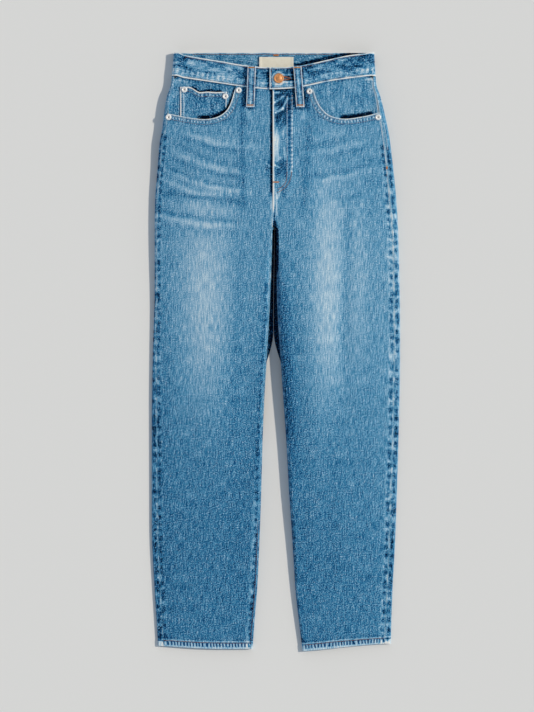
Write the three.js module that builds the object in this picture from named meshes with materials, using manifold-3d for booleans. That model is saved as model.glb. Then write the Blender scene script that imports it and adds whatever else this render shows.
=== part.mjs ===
// High-waisted balloon jeans, buttoned, lying flat on their back with the waist towards +Y.
// Millimetres, +Z up. The origin is the middle of the footprint, on the surface they lie on.
// Right and left are the wearer's, so the right leg is at -X. "Down" is measured from the waist edge.
import * as THREE from 'three';
import { mergeVertices } from 'three/addons/utils/BufferGeometryUtils.js';
import Module from 'manifold-3d';

const wasm = await Module();
wasm.setup();

// Driving dimensions
const LENGTH = 1076;
const DENIM = 1.2;
const BAND_WALL = 2.4;
const BAND_HEIGHT = 40;
const SEAM_GAP = 0.3;
const FOLD_SEAM_GAP = 0.5;
const CROTCH = 315;
const FLY_X = -5.8;
const SEAT_X = -2.8;
const INSEAM_INSET = 2.5;
const HEM_HEIGHT = 11;
const HEM_RELIEF = 0.8;
const SEAT_LIFT = 1.5;
const CROWN = 1.6;
const CORNER_SHARE = 0.42;

// Cross sections. outer and inner are the silhouette of each leg, seam is how far the outseam
// lies in from it, edge is the rise of the outer fold, middle the rise at the fly or the inner
// fold, and bulge what stands above a line between the two.
const SECTION_COLUMNS = [
  'down', 'outerRight', 'outerLeft', 'seamRight', 'seamLeft', 'innerRight', 'innerLeft',
  'edge', 'middle', 'bulge',
];
const SECTIONS = [
  [0, -183.8, 176.8, 4, 4, -6.5, 0.9, 14, 20, 0.4],
  [40, -187.1, 179.3, 4, 4, -6.5, 0.9, 15, 22, 0.4],
  [60, -189.5, 181.3, 3, 5, -6.5, 0.9, 16, 23, 0.6],
  [76, -195.3, 187.1, 4, 6, -6.5, 0.9, 17, 24, 0.8],
  [99, -199.8, 193.1, 5.5, 8, -6.5, 0.9, 17.5, 25, 0.8],
  [137, -204.5, 201.6, 6.7, 10.6, -6.5, 0.9, 17, 27, 1.2],
  [160, -209, 205.4, 5, 10.8, -6.5, 0.9, 16, 27.5, 1.2],
  [205, -212.7, 210.8, 4.3, 10.8, -6.5, 0.9, 14, 28, 1.2],
  [263, -217.2, 216.6, 3.6, 11.5, -6.5, 0.9, 12.5, 28, 1.2],
  [335, -218.1, 220.5, 3, 10.2, -6.5, 1.2, 12, 26, 1.6],
  [445, -218.5, 222.9, 3.6, 10, -10.4, 2, 9, 23, 2],
  [531, -221.2, 223.3, 5.4, 10.2, -15.1, 6.9, 7, 21, 2],
  [617, -223, 222.5, 7.7, 10.4, -20.5, 12.8, 6, 20, 2],
  [704, -223.4, 220.5, 9, 10.6, -24.1, 18.9, 5.4, 18, 1.8],
  [790, -223.4, 217.7, 9.7, 10.8, -26.4, 23.6, 5.2, 16, 1.6],
  [877, -223, 214.7, 10.8, 9.9, -29.5, 29.5, 5, 13, 2],
  [963, -218.5, 210, 10.4, 9.9, -33.5, 34.9, 5, 10, 2],
  [1006, -215.8, 208.3, 9.9, 10.2, -37.1, 39.4, 5, 9, 1.8],
  [LENGTH, -211.5, 206.1, 9.4, 10.6, -42.3, 48, 5, 7.5, 1.5],
];

// The front of the waistband dips towards the button: how far down its two edges lie
const BAND_COLUMNS = ['x', 'top', 'bottom'];
const BAND = [
  [-186, 0.5, 42.5],
  [-144, 8.3, 48.8],
  [-102, 15.2, 55],
  [-53, 23.4, 62],
  [-12, 27, 66],
  [30, 25.8, 64.3],
  [60, 20.7, 59.4],
  [90, 13.9, 52.6],
  [132, 4.8, 46.3],
  [178, 0, 40.5],
];

// The mouths of the front pockets, from the waistband to the outseam
const POCKET_COLUMNS = ['x', 'down'];
const POCKET_RIGHT = [
  [-198, 108.5],
  [-177.3, 112.7],
  [-149.4, 117.7],
  [-126.4, 119.6],
  [-108, 116.4],
  [-94.3, 109.3],
  [-85.5, 99.5],
  [-79.5, 86],
  [-76, 74],
  [-73, 64],
];
const POCKET_LEFT = [
  [66.5, 64],
  [69.5, 74],
  [73, 84.1],
  [78.3, 94.7],
  [85, 103.4],
  [94, 111.4],
  [105, 116],
  [118, 118.6],
  [132, 118.5],
  [148, 116.2],
  [165, 113],
  [190, 106.5],
];

// The largest soft folds of the front: x at each end, and how far each stands out or sinks
const FOLD_COLUMNS = ['from', 'to', 'xFrom', 'xTo', 'height', 'width'];
const FOLDS = [
  [130, 330, -60, -62, 1.4, 15],
  [350, 960, -48, -64, -1.2, 17],
  [420, 820, -150, -158, -1.2, 22],
  [130, 300, 52, 60, 1.4, 15],
  [300, 740, 126, 118, -1.8, 16],
  [340, 900, 26, 58, -1.6, 15],
];

const clamp = (value, low, high) => Math.min(high, Math.max(low, value));
const mix = (a, b, share) => a + (b - a) * share;
const smooth = (from, to, value) => {
  const share = clamp((value - from) / (to - from), 0, 1);
  return share * share * (3 - 2 * share);
};

// A smooth curve through one column of a table, looked up by another
function column(names, rows, key, wanted) {
  const points = rows.map((row) => [row[names.indexOf(key)], row[names.indexOf(wanted)]]);
  const slope = (i) => {
    const before = points[Math.max(i - 1, 0)];
    const after = points[Math.min(i + 1, points.length - 1)];
    return (after[1] - before[1]) / (after[0] - before[0]);
  };
  return (at) => {
    const last = points.length - 2;
    let i = 0;
    while (i < last && at > points[i + 1][0]) i += 1;
    const width = points[i + 1][0] - points[i][0];
    const t = clamp((at - points[i][0]) / width, 0, 1);
    const rise = points[i + 1][1] - points[i][1];
    const m0 = slope(i) * width;
    const m1 = slope(i + 1) * width;
    return points[i][1] + m0 * t + (3 * rise - 2 * m0 - m1) * t * t + (m0 + m1 - 2 * rise) * t ** 3;
  };
}
const section = (wanted) => column(SECTION_COLUMNS, SECTIONS, 'down', wanted);

// sign is -1 or 1. The hem's two ends and its sag are what the leg opening shows from above.
const RIGHT = {
  name: 'right', sign: -1, outer: section('outerRight'), seam: section('seamRight'),
  inner: section('innerRight'), pocket: column(POCKET_COLUMNS, POCKET_RIGHT, 'x', 'down'),
  pocketEnd: -73, hemOuter: 1067, hemInner: 1072, hemSag: 2,
};
const LEFT = {
  name: 'left', sign: 1, outer: section('outerLeft'), seam: section('seamLeft'),
  inner: section('innerLeft'), pocket: column(POCKET_COLUMNS, POCKET_LEFT, 'x', 'down'),
  pocketEnd: 66.5, hemOuter: 1063, hemInner: LENGTH, hemSag: -1,
};
const edgeRise = section('edge');
const middleRise = section('middle');
const bulge = section('bulge');
const bandTop = column(BAND_COLUMNS, BAND, 'x', 'top');
const bandBottom = column(BAND_COLUMNS, BAND, 'x', 'bottom');
const sideAt = (x) => (x < FLY_X ? RIGHT : LEFT);

// The leg's inner silhouette. Both start together at the crotch, in a slot with a round end.
function innerEdge(side, down) {
  if (down < CROTCH) return FLY_X;
  const open = 1 - clamp((down - CROTCH) / 9, 0, 1);
  const start = SEAT_X + (side.sign * SEAM_GAP) / 2;
  return mix(start, side.inner(down), Math.sqrt(1 - open * open));
}
const outerCorner = (down) => CORNER_SHARE * edgeRise(down);
const innerCorner = (down) => Math.min(CORNER_SHARE * middleRise(down), 2 + 0.12 * (down - CROTCH));
// How far a round corner of this radius takes the face back, at a distance from the silhouette
const corner = (away, radius) =>
  away < radius ? radius - Math.sqrt(Math.max(0, radius ** 2 - (radius - away) ** 2)) : 0;

function foldRise(x, down) {
  let total = 0;
  for (const [from, to, xFrom, xTo, height, width] of FOLDS) {
    const along = (down - from) / (to - from);
    if (along > 0 && along < 1) {
      const off = (x - mix(xFrom, xTo, along)) / width;
      total += height * Math.sin(Math.PI * along) * Math.exp(-off * off);
    }
  }
  return total;
}

// The fly's fold stands over the right front, and fades out past its curved seam
function flyRise(x, down) {
  if (x < FLY_X || down > 268) return 0;
  const width = 34 * Math.sqrt(1 - clamp((down - 215) / 56, 0, 1) ** 2) + 2;
  return 2.2 * smooth(width + 12, width - 12, x - FLY_X) * smooth(268, 235, down);
}

// The upper face of the garment, and the lower one
function upper(side, x, down) {
  const inner = innerEdge(side, down);
  const outer = side.outer(down);
  const t = clamp((x - outer) / (inner - outer), 0, 1);
  const edge = edgeRise(down);
  let z = edge + (middleRise(down) - edge) * (1 - (1 - t) ** CROWN);
  z += bulge(down) * Math.sin(Math.PI * t) + foldRise(x, down) + flyRise(x, down);
  z -= corner(Math.abs(x - outer), outerCorner(down));
  if (down >= CROTCH) z -= corner(Math.abs(x - inner), innerCorner(down));
  return z;
}
const lift = (down) => SEAT_LIFT * smooth(335, 285, down);
function lower(side, x, down) {
  let z = lift(down) + corner(Math.abs(x - side.outer(down)), outerCorner(down));
  if (down >= CROTCH) z += corner(Math.abs(x - innerEdge(side, down)), innerCorner(down));
  return z;
}
const point = (x, down, z) => new THREE.Vector3(x, LENGTH / 2 - down, z);

// The upper face's normal at a point. Two pieces that meet at a seam share it along their edges.
const PROBE = 0.4;
function faceNormal(side, p) {
  const down = LENGTH / 2 - p.y;
  const inward = -side.sign * PROBE;
  const slope = (upper(side, p.x + inward, down) - upper(side, p.x, down)) / inward;
  const fall = (upper(side, p.x, down + PROBE) - upper(side, p.x, down)) / PROBE;
  return new THREE.Vector3(-slope, fall, 1).normalize();
}

// A closed wall. The grid's points are its outer face and the inner face is moved in along the
// normals, so orient (1 or -1) says which way is out. Cells that present() refuses are left out,
// and a seam's own normals take the place of the grid's where seamNormal() gives one.
function wall(grid, thickness, orient, { present = () => true, seamNormal = () => null } = {}) {
  const rows = grid.length;
  const cols = grid[0].length;
  const has = (i, j) => i >= 0 && j >= 0 && i < rows - 1 && j < cols - 1 && present(i, j);
  const at = (i, j) => i * cols + j;
  const normals = grid.flat().map(() => new THREE.Vector3());
  const cells = [];
  for (let i = 0; i < rows - 1; i += 1) {
    for (let j = 0; j < cols - 1; j += 1) {
      if (!has(i, j)) continue;
      cells.push([i, j]);
      const down = new THREE.Vector3().subVectors(grid[i + 1][j], grid[i][j]);
      down.add(grid[i + 1][j + 1]).sub(grid[i][j + 1]);
      const across = new THREE.Vector3().subVectors(grid[i][j + 1], grid[i][j]);
      across.add(grid[i + 1][j + 1]).sub(grid[i + 1][j]);
      const normal = down.cross(across).normalize().multiplyScalar(orient);
      for (const k of [at(i, j), at(i + 1, j), at(i, j + 1), at(i + 1, j + 1)]) normals[k].add(normal);
    }
  }
  const outer = grid.flat();
  const inner = outer.map((p, k) => {
    const normal = seamNormal(k % cols, p) ?? normals[k].normalize();
    return p.clone().addScaledVector(normal, -thickness);
  });
  const count = outer.length;
  const index = [];
  const quad = (a, b, c, d) => index.push(...(orient > 0 ? [a, b, c, a, c, d] : [a, c, b, a, d, c]));
  for (const [i, j] of cells) {
    const [a, b, c, d] = [at(i, j), at(i + 1, j), at(i + 1, j + 1), at(i, j + 1)];
    quad(a, b, c, d);
    quad(a + count, d + count, c + count, b + count);
    if (!has(i - 1, j)) quad(d, d + count, a + count, a);
    if (!has(i + 1, j)) quad(b, b + count, c + count, c);
    if (!has(i, j - 1)) quad(a, a + count, b + count, b);
    if (!has(i, j + 1)) quad(c, c + count, d + count, d);
  }
  return geometryOf([...outer, ...inner], index);
}

function geometryOf(points, index) {
  const used = new Map();
  const positions = [];
  const compact = index.map((k) => {
    if (!used.has(k)) {
      used.set(k, used.size);
      positions.push(points[k].x, points[k].y, points[k].z);
    }
    return used.get(k);
  });
  const geometry = new THREE.BufferGeometry();
  geometry.setAttribute('position', new THREE.Float32BufferAttribute(positions, 3));
  geometry.setIndex(compact);
  geometry.computeVertexNormals();
  return geometry;
}

function solidOf(geometry) {
  const bare = geometry.clone();
  bare.deleteAttribute('normal');
  bare.deleteAttribute('uv');
  const merged = mergeVertices(bare, 1e-4);
  return new wasm.Manifold(new wasm.Mesh({
    numProp: 3,
    vertProperties: new Float32Array(merged.attributes.position.array),
    triVerts: new Uint32Array(merged.index.array),
  }));
}

function geometryFrom(solid) {
  const { vertProperties, triVerts } = solid.getMesh();
  const geometry = new THREE.BufferGeometry();
  geometry.setAttribute('position', new THREE.BufferAttribute(new Float32Array(vertProperties), 3));
  geometry.setIndex(new THREE.BufferAttribute(new Uint32Array(triVerts), 1));
  geometry.computeVertexNormals();
  return geometry;
}

const material = (color, roughness, metalness = 0) =>
  new THREE.MeshStandardMaterial({ color, roughness, metalness });
const denim = material(0x4f84b4, 0.9);
const denimInside = material(0x7fa3c0, 0.92);
const cream = material(0xf1e7d3, 0.85);
const copper = material(0xb8733f, 0.35, 1);
const nickel = material(0xd9d9d6, 0.3, 1);

const jeans = new THREE.Group();
function add(name, geometry, finish = denim) {
  const mesh = new THREE.Mesh(geometry, finish);
  mesh.name = name;
  jeans.add(mesh);
  return mesh;
}

// Levels down the leg, close together at the crotch and at the hem
const FLY_END = CROTCH - 2;
const CROTCH_LEVELS = [FLY_END - 2, FLY_END, CROTCH, CROTCH + 2, CROTCH + 5, CROTCH + 9];
const LEG_STEP = 49;
function levels(start, hem) {
  const body = [];
  const seat = Math.round((CROTCH - 10 - start) / 34);
  for (let i = 0; i <= seat; i += 1) body.push(mix(start, CROTCH - 10, i / seat));
  body.push(...CROTCH_LEVELS);
  const first = CROTCH + 22;
  const last = hem - HEM_HEIGHT - 1.5;
  const count = Math.round((last - first) / LEG_STEP);
  for (let i = 0; i <= count; i += 1) body.push(mix(first, last, i / count));
  return [...body, hem - HEM_HEIGHT, hem];
}

// A leg's hem line, from its outer fold (0) to its inner one (1)
const hemAt = (side, t) => mix(side.hemOuter, side.hemInner, t) + side.hemSag * Math.sin(Math.PI * t);
const hemFade = (level, side) => smooth(900, side.hemInner, level);
const hemRise = (side, t, down) => (down > hemAt(side, t) - HEM_HEIGHT - 0.2 ? HEM_RELIEF : 0);

// Where the front ends towards the middle: at the fly, then at the inseam
function frontInner(side, down) {
  if (down < FLY_END - 0.1) return FLY_X + (side.sign * SEAM_GAP) / 2;
  return innerEdge(side, Math.max(down, CROTCH)) + side.sign * (INSEAM_INSET + FOLD_SEAM_GAP);
}
const seamX = (side, down) => side.outer(down) - side.sign * side.seam(down);

// Front leg: from the outseam to the fly and the inseam, with the pocket's mouth cut away
const FRONT_COLUMNS = [0, 0.08, 0.17, 0.27, 0.37, 0.46, 0.53, 0.58, 0.625, 0.665, 0.7, 0.79, 0.895, 1];
function front(side) {
  const start = bandBottom(FLY_X) + SEAM_GAP;
  const across = (share, down) =>
    mix(seamX(side, down) - side.sign * FOLD_SEAM_GAP, frontInner(side, down), share);
  const mouth = (x) => {
    const outward = side.sign * (x - side.pocketEnd);
    return (outward > 0 ? side.pocket(x) : bandBottom(x)) + SEAM_GAP;
  };
  const tops = FRONT_COLUMNS.map((share) => {
    let down = start;
    for (let i = 0; i < 6; i += 1) down = mouth(across(share, down));
    return down;
  });
  const rows = levels(start, side.hemInner);
  const grid = rows.map((level) => FRONT_COLUMNS.map((share, j) => {
    const fade = clamp((CROTCH - 12 - level) / (CROTCH - 12 - start), 0, 1);
    const down = level + (tops[j] - start) * fade
      + (hemAt(side, share) - side.hemInner) * hemFade(level, side);
    const x = across(share, down);
    return point(x, down, upper(side, x, down) + hemRise(side, share, down));
  }));
  const last = FRONT_COLUMNS.length - 1;
  const seamNormal = (j, p) => (j === 0 || j === last ? faceNormal(side, p) : null);
  add(`front_${side.name}`, wall(grid, DENIM, -side.sign, { seamNormal }));
}

// The back wraps round both folds. These are its columns, from the outseam to the inseam.
const UPPER_ROLL = [1, 0.55, 0.2, 0];
const LOWER_ROLL = [0, 0.12, 0.45, 1];
const BOTTOM = [0.16, 0.34, 0.52, 0.7, 0.86, 1];
const INNER_LOWER = [0.45, 0.12, 0];
const INNER_UPPER = [0, 0.3, 1];
const SEAT_COUNT = UPPER_ROLL.length + LOWER_ROLL.length + BOTTOM.length;
const seatX = (side) => SEAT_X + (side.sign * SEAM_GAP) / 2;

function ringRow(side, down, relief = 0) {
  const outer = side.outer(down);
  const inner = innerEdge(side, down);
  const inward = -side.sign;
  const row = [];
  for (const share of UPPER_ROLL) {
    const x = outer + inward * share * side.seam(down);
    row.push(point(x, down, upper(side, x, down) + relief));
  }
  const turn = outerCorner(down);
  for (const share of LOWER_ROLL) {
    const x = outer + inward * share * turn;
    row.push(point(x, down, lower(side, x, down)));
  }
  const leg = down > CROTCH - 0.1;
  const innerTurn = leg ? innerCorner(down) : 0;
  const flatEnd = leg ? inner + side.sign * innerTurn : seatX(side);
  for (const share of BOTTOM) {
    const x = mix(outer + inward * turn, flatEnd, share);
    row.push(point(x, down, leg ? lower(side, x, down) : lift(down)));
  }
  for (const share of INNER_LOWER) {
    const x = inner + side.sign * share * innerTurn;
    row.push(point(x, down, lower(side, x, down)));
  }
  for (const share of INNER_UPPER) {
    const x = inner + side.sign * share * INSEAM_INSET;
    row.push(point(x, down, upper(side, x, down) + relief));
  }
  return row;
}

// How much further down the waistband reaches under the back than its own height
const BACK_DROP = 2.6;
const FOLD_DROP = 1.5;

// The yoke's lower edge slants from the outseam to the middle of the seat
const YOKE_OUTER = 88;
const YOKE_MIDDLE = 112;
const yokeShare = (j) => clamp((j - UPPER_ROLL.length - LOWER_ROLL.length + 1) / BOTTOM.length, 0, 1);
const yokeEdge = (j) => mix(YOKE_OUTER, YOKE_MIDDLE, yokeShare(j));

function back(side) {
  const rows = levels(YOKE_MIDDLE + SEAM_GAP, side.hemInner);
  const grid = rows.map((level) => {
    const raised = level > side.hemInner - HEM_HEIGHT - 0.2 ? HEM_RELIEF : 0;
    return ringRow(side, level, raised).map((p, j) => {
      const t = yokeShare(j);
      const fade = clamp((CROTCH - 12 - level) / (CROTCH - 12 - YOKE_MIDDLE), 0, 1);
      const down = level + (yokeEdge(j) - YOKE_MIDDLE) * fade
        + (hemAt(side, t) - side.hemInner) * hemFade(level, side);
      return down === level ? p : ringRow(side, down, raised)[j];
    });
  });
  const present = (i, j) => j < SEAT_COUNT - 1 || rows[i] > CROTCH - 0.1;
  const last = grid[0].length - 1;
  const seamNormal = (j, p) => (j === 0 || j === last ? faceNormal(side, p) : null);
  add(`back_${side.name}`, wall(grid, DENIM, side.sign, { present, seamNormal }));
}

function yoke(side) {
  const start = BAND_HEIGHT + BACK_DROP + SEAM_GAP;
  const grid = [0, 0.5, 1].map((share) =>
    Array.from({ length: SEAT_COUNT }, (_, j) =>
      ringRow(side, mix(start, yokeEdge(j), share))[j]));
  const seamNormal = (j, p) => (j === 0 ? faceNormal(side, p) : null);
  add(`yoke_${side.name}`, wall(grid, DENIM, side.sign, { seamNormal }));
}

// The layer seen inside each pocket's mouth. It sinks away from the mouth, and rises to the
// outseam and to the waistband, which it is sewn to.
const FACING_REACH = 18;
const FACING_DEPTH = 3.2;
const FACING_EDGE = 1.3;
const FACING_TUCK = 6;
function facingSink(side, x, down) {
  const fromSeam = Math.abs(x - seamX(side, down));
  const nearSeam = smooth(9, 0, fromSeam) * smooth(100, 88, down);
  const nearBand = smooth(14, 0, down - bandBottom(x));
  return mix(mix(FACING_DEPTH, BAND_WALL - 0.5, nearBand), DENIM + SEAM_GAP, nearSeam);
}
function facing(side) {
  const start = side.outer(80) - side.sign * 3;
  const end = side.pocketEnd - side.sign * 8;
  const beyond = (a, b) => side.sign * (a - b) > 0;
  const grid = [0, 0.25, 0.5, 0.75, 1].map((v) =>
    Array.from({ length: 11 }, (_, j) => {
      const wanted = mix(start, end, j / 10);
      const mouth = beyond(wanted, side.pocketEnd) ? wanted : side.pocketEnd;
      const down = mix(bandBottom(wanted) - FACING_TUCK, side.pocket(mouth) + FACING_REACH, v);
      const room = FACING_EDGE + FACING_TUCK * smooth(60, 44, down);
      const limit = seamX(side, down) - side.sign * room;
      const x = beyond(wanted, limit) ? limit : wanted;
      return point(x, down, upper(side, x, down) - facingSink(side, x, down));
    }));
  add(`facing_${side.name}`, wall(grid, DENIM, -side.sign));
}

// Coin pocket: its top edge steps down from one rivet to the other, and its sides run down into
// the pocket's mouth
const COIN = {
  left: -172, right: -87.5, leftDown: 61.5, rightDown: 70.8, stepFrom: 0.16, stepTo: 0.44, reach: 10,
};
function coinPocket() {
  const grid = [0, 0.12, 0.4, 0.7, 1].map((v) =>
    Array.from({ length: 11 }, (_, j) => {
      const share = j / 10;
      const x = mix(COIN.left, COIN.right - 3 * v, share);
      const top = mix(COIN.leftDown, COIN.rightDown, smooth(COIN.stepFrom, COIN.stepTo, share));
      const down = mix(top, Math.max(top + 24, RIGHT.pocket(x) + COIN.reach), v);
      const z = upper(RIGHT, x, down) - facingSink(RIGHT, x, down) + SEAM_GAP + DENIM;
      return point(x, down, z);
    }));
  add('coin_pocket', wall(grid, DENIM, 1));
}

// Waistband: one strip from the buttonhole end, round the left fold, the back and the right fold
const BAND_RELIEF = 0.8;
const OVERLAP_X = -11.2;
const UNDERLAP_X = 27;
const OVERLAP_LIFT = BAND_WALL + 0.4;
const OVERLAP_FADE = [36, 66];
const BAND_TURN = 9;
function overlapLift(x) {
  return x > OVERLAP_X - 0.1 ? OVERLAP_LIFT * smooth(OVERLAP_FADE[1], OVERLAP_FADE[0], x) : 0;
}
function bandPoint(x, v, raised) {
  const down = mix(bandTop(x), bandBottom(x), v);
  return point(x, down, upper(sideAt(x), x, down) - flyRise(x, down) + BAND_RELIEF + raised);
}
function bandFold(side, part, share, v) {
  const down = mix(0, BAND_HEIGHT + (part === 'upper' ? FOLD_DROP : BACK_DROP), v);
  const width = part === 'upper' ? BAND_TURN : outerCorner(down);
  const x = side.outer(down) - side.sign * share * width;
  const away = Math.abs(share * width);
  const z = part === 'upper'
    ? upper(side, x, down) + BAND_RELIEF * smooth(0, 5, away)
    : lower(side, x, down);
  return point(x, down, z);
}
const BUTTON = { x: 5.2, down: 46.6, radius: 9, stem: 2, dome: 3.4 };
const HOLE = { radius: 2.8, slot: 1.3, end: 25 };
function waistband() {
  const rolls = [1, 0.6, 0.25, 0];
  const grid = [0, 1 / 3, 2 / 3, 1].map((v) => {
    const row = [];
    for (let j = 0; j <= 11; j += 1) {
      const x = mix(OVERLAP_X, LEFT.outer(0) - 2 * BAND_TURN, j / 11);
      row.push(bandPoint(x, v, overlapLift(x)));
    }
    for (const share of rolls) row.push(bandFold(LEFT, 'upper', share, v));
    for (const share of [...rolls].reverse()) row.push(bandFold(LEFT, 'lower', share, v));
    for (let j = 1; j < 8; j += 1) {
      const x = mix(LEFT.outer(0) - BAND_TURN, RIGHT.outer(0) + BAND_TURN, j / 8);
      row.push(point(x, (BAND_HEIGHT + BACK_DROP) * v, SEAT_LIFT));
    }
    for (const share of rolls) row.push(bandFold(RIGHT, 'lower', share, v));
    for (const share of [...rolls].reverse()) row.push(bandFold(RIGHT, 'upper', share, v));
    for (let j = 0; j <= 12; j += 1) {
      row.push(bandPoint(mix(RIGHT.outer(0) + 2 * BAND_TURN, UNDERLAP_X, j / 12), v, 0));
    }
    return row;
  });
  const strip = solidOf(wall(grid, BAND_WALL, 1));
  const shape = new THREE.Shape();
  const half = Math.asin(HOLE.slot / HOLE.radius);
  shape.moveTo(HOLE.end, -HOLE.slot);
  shape.lineTo(HOLE.end, HOLE.slot);
  shape.absarc(0, 0, HOLE.radius, half, 2 * Math.PI - half, false);
  shape.closePath();
  const cutter = new THREE.ExtrudeGeometry(shape, { depth: 12, bevelEnabled: false, curveSegments: 12 });
  const floor = upper(LEFT, BUTTON.x, BUTTON.down) - flyRise(BUTTON.x, BUTTON.down) + BAND_RELIEF + 0.2;
  cutter.translate(BUTTON.x, LENGTH / 2 - BUTTON.down, floor);
  add('waistband', geometryFrom(strip.subtract(solidOf(cutter))));
}

// A round metal piece, its axis upright, from its half profile of radius and height
function turned(name, profile, x, down, z, segments, finish) {
  const points = profile.map(([radius, height]) => new THREE.Vector2(radius, height));
  const geometry = new THREE.LatheGeometry(points, segments);
  geometry.rotateX(Math.PI / 2);
  const bare = geometry.clone();
  bare.deleteAttribute('normal');
  bare.deleteAttribute('uv');
  const mesh = add(name, mergeVertices(bare, 1e-4), finish);
  mesh.position.copy(point(x, down, z));
}

function button() {
  const under = upper(LEFT, BUTTON.x, BUTTON.down) - flyRise(BUTTON.x, BUTTON.down) + BAND_RELIEF;
  const head = OVERLAP_LIFT + 2 * SEAM_GAP;
  turned('button', [
    [0, SEAM_GAP], [BUTTON.stem, SEAM_GAP], [BUTTON.stem, head], [BUTTON.radius - 1, head],
    [BUTTON.radius, head + 0.9], [BUTTON.radius - 0.7, head + 2],
    [BUTTON.radius - 2.2, head + 2.1], [BUTTON.radius - 3, head + 1.6],
    [BUTTON.radius - 5, head + BUTTON.dome - 0.6], [0, head + BUTTON.dome],
  ], BUTTON.x, BUTTON.down, under, 20, copper);
}

// Rivets: name, side, place, and whether each sits on the coin pocket
const RIVET = { radius: 4.9, height: 1.7 };
const RIVETS = [
  ['rivet_right_band', RIGHT, -67, 68, 0],
  ['rivet_right_side', RIGHT, -193, 116.2, 0],
  ['rivet_left_band', LEFT, 60.4, 69.8, 0],
  ['rivet_left_side', LEFT, 183.8, 116.4, 0],
  ['rivet_coin_outer', RIGHT, -164.7, 66.5, 1],
  ['rivet_coin_inner', RIGHT, -90.8, 78.8, 1],
];
const AROUND = [-RIVET.radius, 0, RIVET.radius];
function rivets() {
  for (const [name, side, x, down, onCoin] of RIVETS) {
    const clothAt = (dx, dy) => {
      const sink = onCoin ? facingSink(side, x + dx, down + dy) - SEAM_GAP - DENIM : 0;
      return upper(side, x + dx, down + dy) - sink;
    };
    const z = Math.max(...AROUND.flatMap((dx) => AROUND.map((dy) => clothAt(dx, dy)))) + SEAM_GAP;
    turned(name, [
      [0, 0], [RIVET.radius - 0.5, 0], [RIVET.radius, 0.5], [RIVET.radius - 0.7, RIVET.height - 0.2],
      [RIVET.radius - 2, RIVET.height], [RIVET.radius - 2.9, RIVET.height - 0.6], [0, RIVET.height - 0.4],
    ], x, down, z, 14, nickel);
  }
}

// Belt loops. Those of the front arch over the waistband, those of the back lie flat under it.
const LOOP_WIDTH = 14.4;
const LOOP_WALL = 1.6;
function outerFace(x, down) {
  const onBand = down < bandBottom(x) + 2;
  const base = upper(sideAt(x), x, down);
  return onBand ? base - flyRise(x, down) + BAND_RELIEF + overlapLift(x) : base;
}
function frontLoop(name, xTop, downTop, xBottom, downBottom) {
  const grid = [0, 0.1, 0.25, 0.42, 0.58, 0.66, 0.8, 0.93, 1].map((v) =>
    [-0.5, 0, 0.5].map((share) => {
      const down = mix(downTop, downBottom, v);
      const x = mix(xTop, xBottom, v) + share * LOOP_WIDTH;
      const high = Math.max(outerFace(x, down), outerFace(x, down - 5), outerFace(x, down + 3));
      return point(x, down, high + SEAM_GAP + LOOP_WALL + 1.1 * Math.sin(Math.PI * v));
    }));
  add(name, wall(grid, LOOP_WALL, 1));
}
function backLoop(name, x) {
  const height = 64;
  const thick = SEAT_LIFT - SEAM_GAP;
  const geometry = new THREE.BoxGeometry(LOOP_WIDTH, height, thick);
  geometry.deleteAttribute('normal');
  geometry.deleteAttribute('uv');
  const mesh = add(name, mergeVertices(geometry, 1e-4));
  mesh.position.copy(point(x, 2 + height / 2, thick / 2));
}

// Back pocket: five-sided patch under the seat
const BACK_POCKET = { width: 138, height: 150, point: 22, down: 138, x: 104, turn: 0.06 };
function backPocket(side) {
  const { width, height, point: tip } = BACK_POCKET;
  const shape = new THREE.Shape();
  shape.moveTo(-width / 2, 0);
  shape.lineTo(-width / 2 + 7, -height + tip);
  shape.lineTo(0, -height);
  shape.lineTo(width / 2 - 7, -height + tip);
  shape.lineTo(width / 2, 0);
  shape.closePath();
  const geometry = new THREE.ExtrudeGeometry(shape, { depth: SEAT_LIFT - SEAM_GAP, bevelEnabled: false });
  const mesh = add(`back_pocket_${side.name}`, geometry);
  mesh.position.copy(point(side.sign * BACK_POCKET.x + SEAT_X, BACK_POCKET.down, 0));
  mesh.rotation.z = side.sign * BACK_POCKET.turn;
}

// The blank label on the inner side of the back of the waistband
const LABEL = { width: 61.6, height: 26, wall: 1, x: 0.9, down: 7.4 };
function label() {
  const geometry = new THREE.BoxGeometry(LABEL.width, LABEL.height, LABEL.wall);
  geometry.deleteAttribute('normal');
  geometry.deleteAttribute('uv');
  const mesh = add('label', mergeVertices(geometry, 1e-4), cream);
  const z = SEAT_LIFT + BAND_WALL + SEAM_GAP + LABEL.wall / 2;
  mesh.position.copy(point(LABEL.x, LABEL.down + LABEL.height / 2, z));
}

for (const side of [RIGHT, LEFT]) {
  front(side);
  back(side);
  yoke(side);
  facing(side);
  backPocket(side);
}
coinPocket();
waistband();
frontLoop('loop_front_right', -43.3, 24.5, -46, 98);
frontLoop('loop_front_left', 38.5, 24.5, 44, 98);
backLoop('loop_back_right', -118);
backLoop('loop_back_middle', SEAT_X);
backLoop('loop_back_left', 112);
button();
rivets();
label();

export default jeans;
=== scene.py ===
"""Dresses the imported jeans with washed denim, sewing and metal, on a plain pale floor.

Lengths are in millimetres until a mesh is made: x towards the wearer's left, down from the waist
edge towards the hems, z up from the floor. Right and left are the wearer's, so right is at -x.
"""
import math

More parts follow.
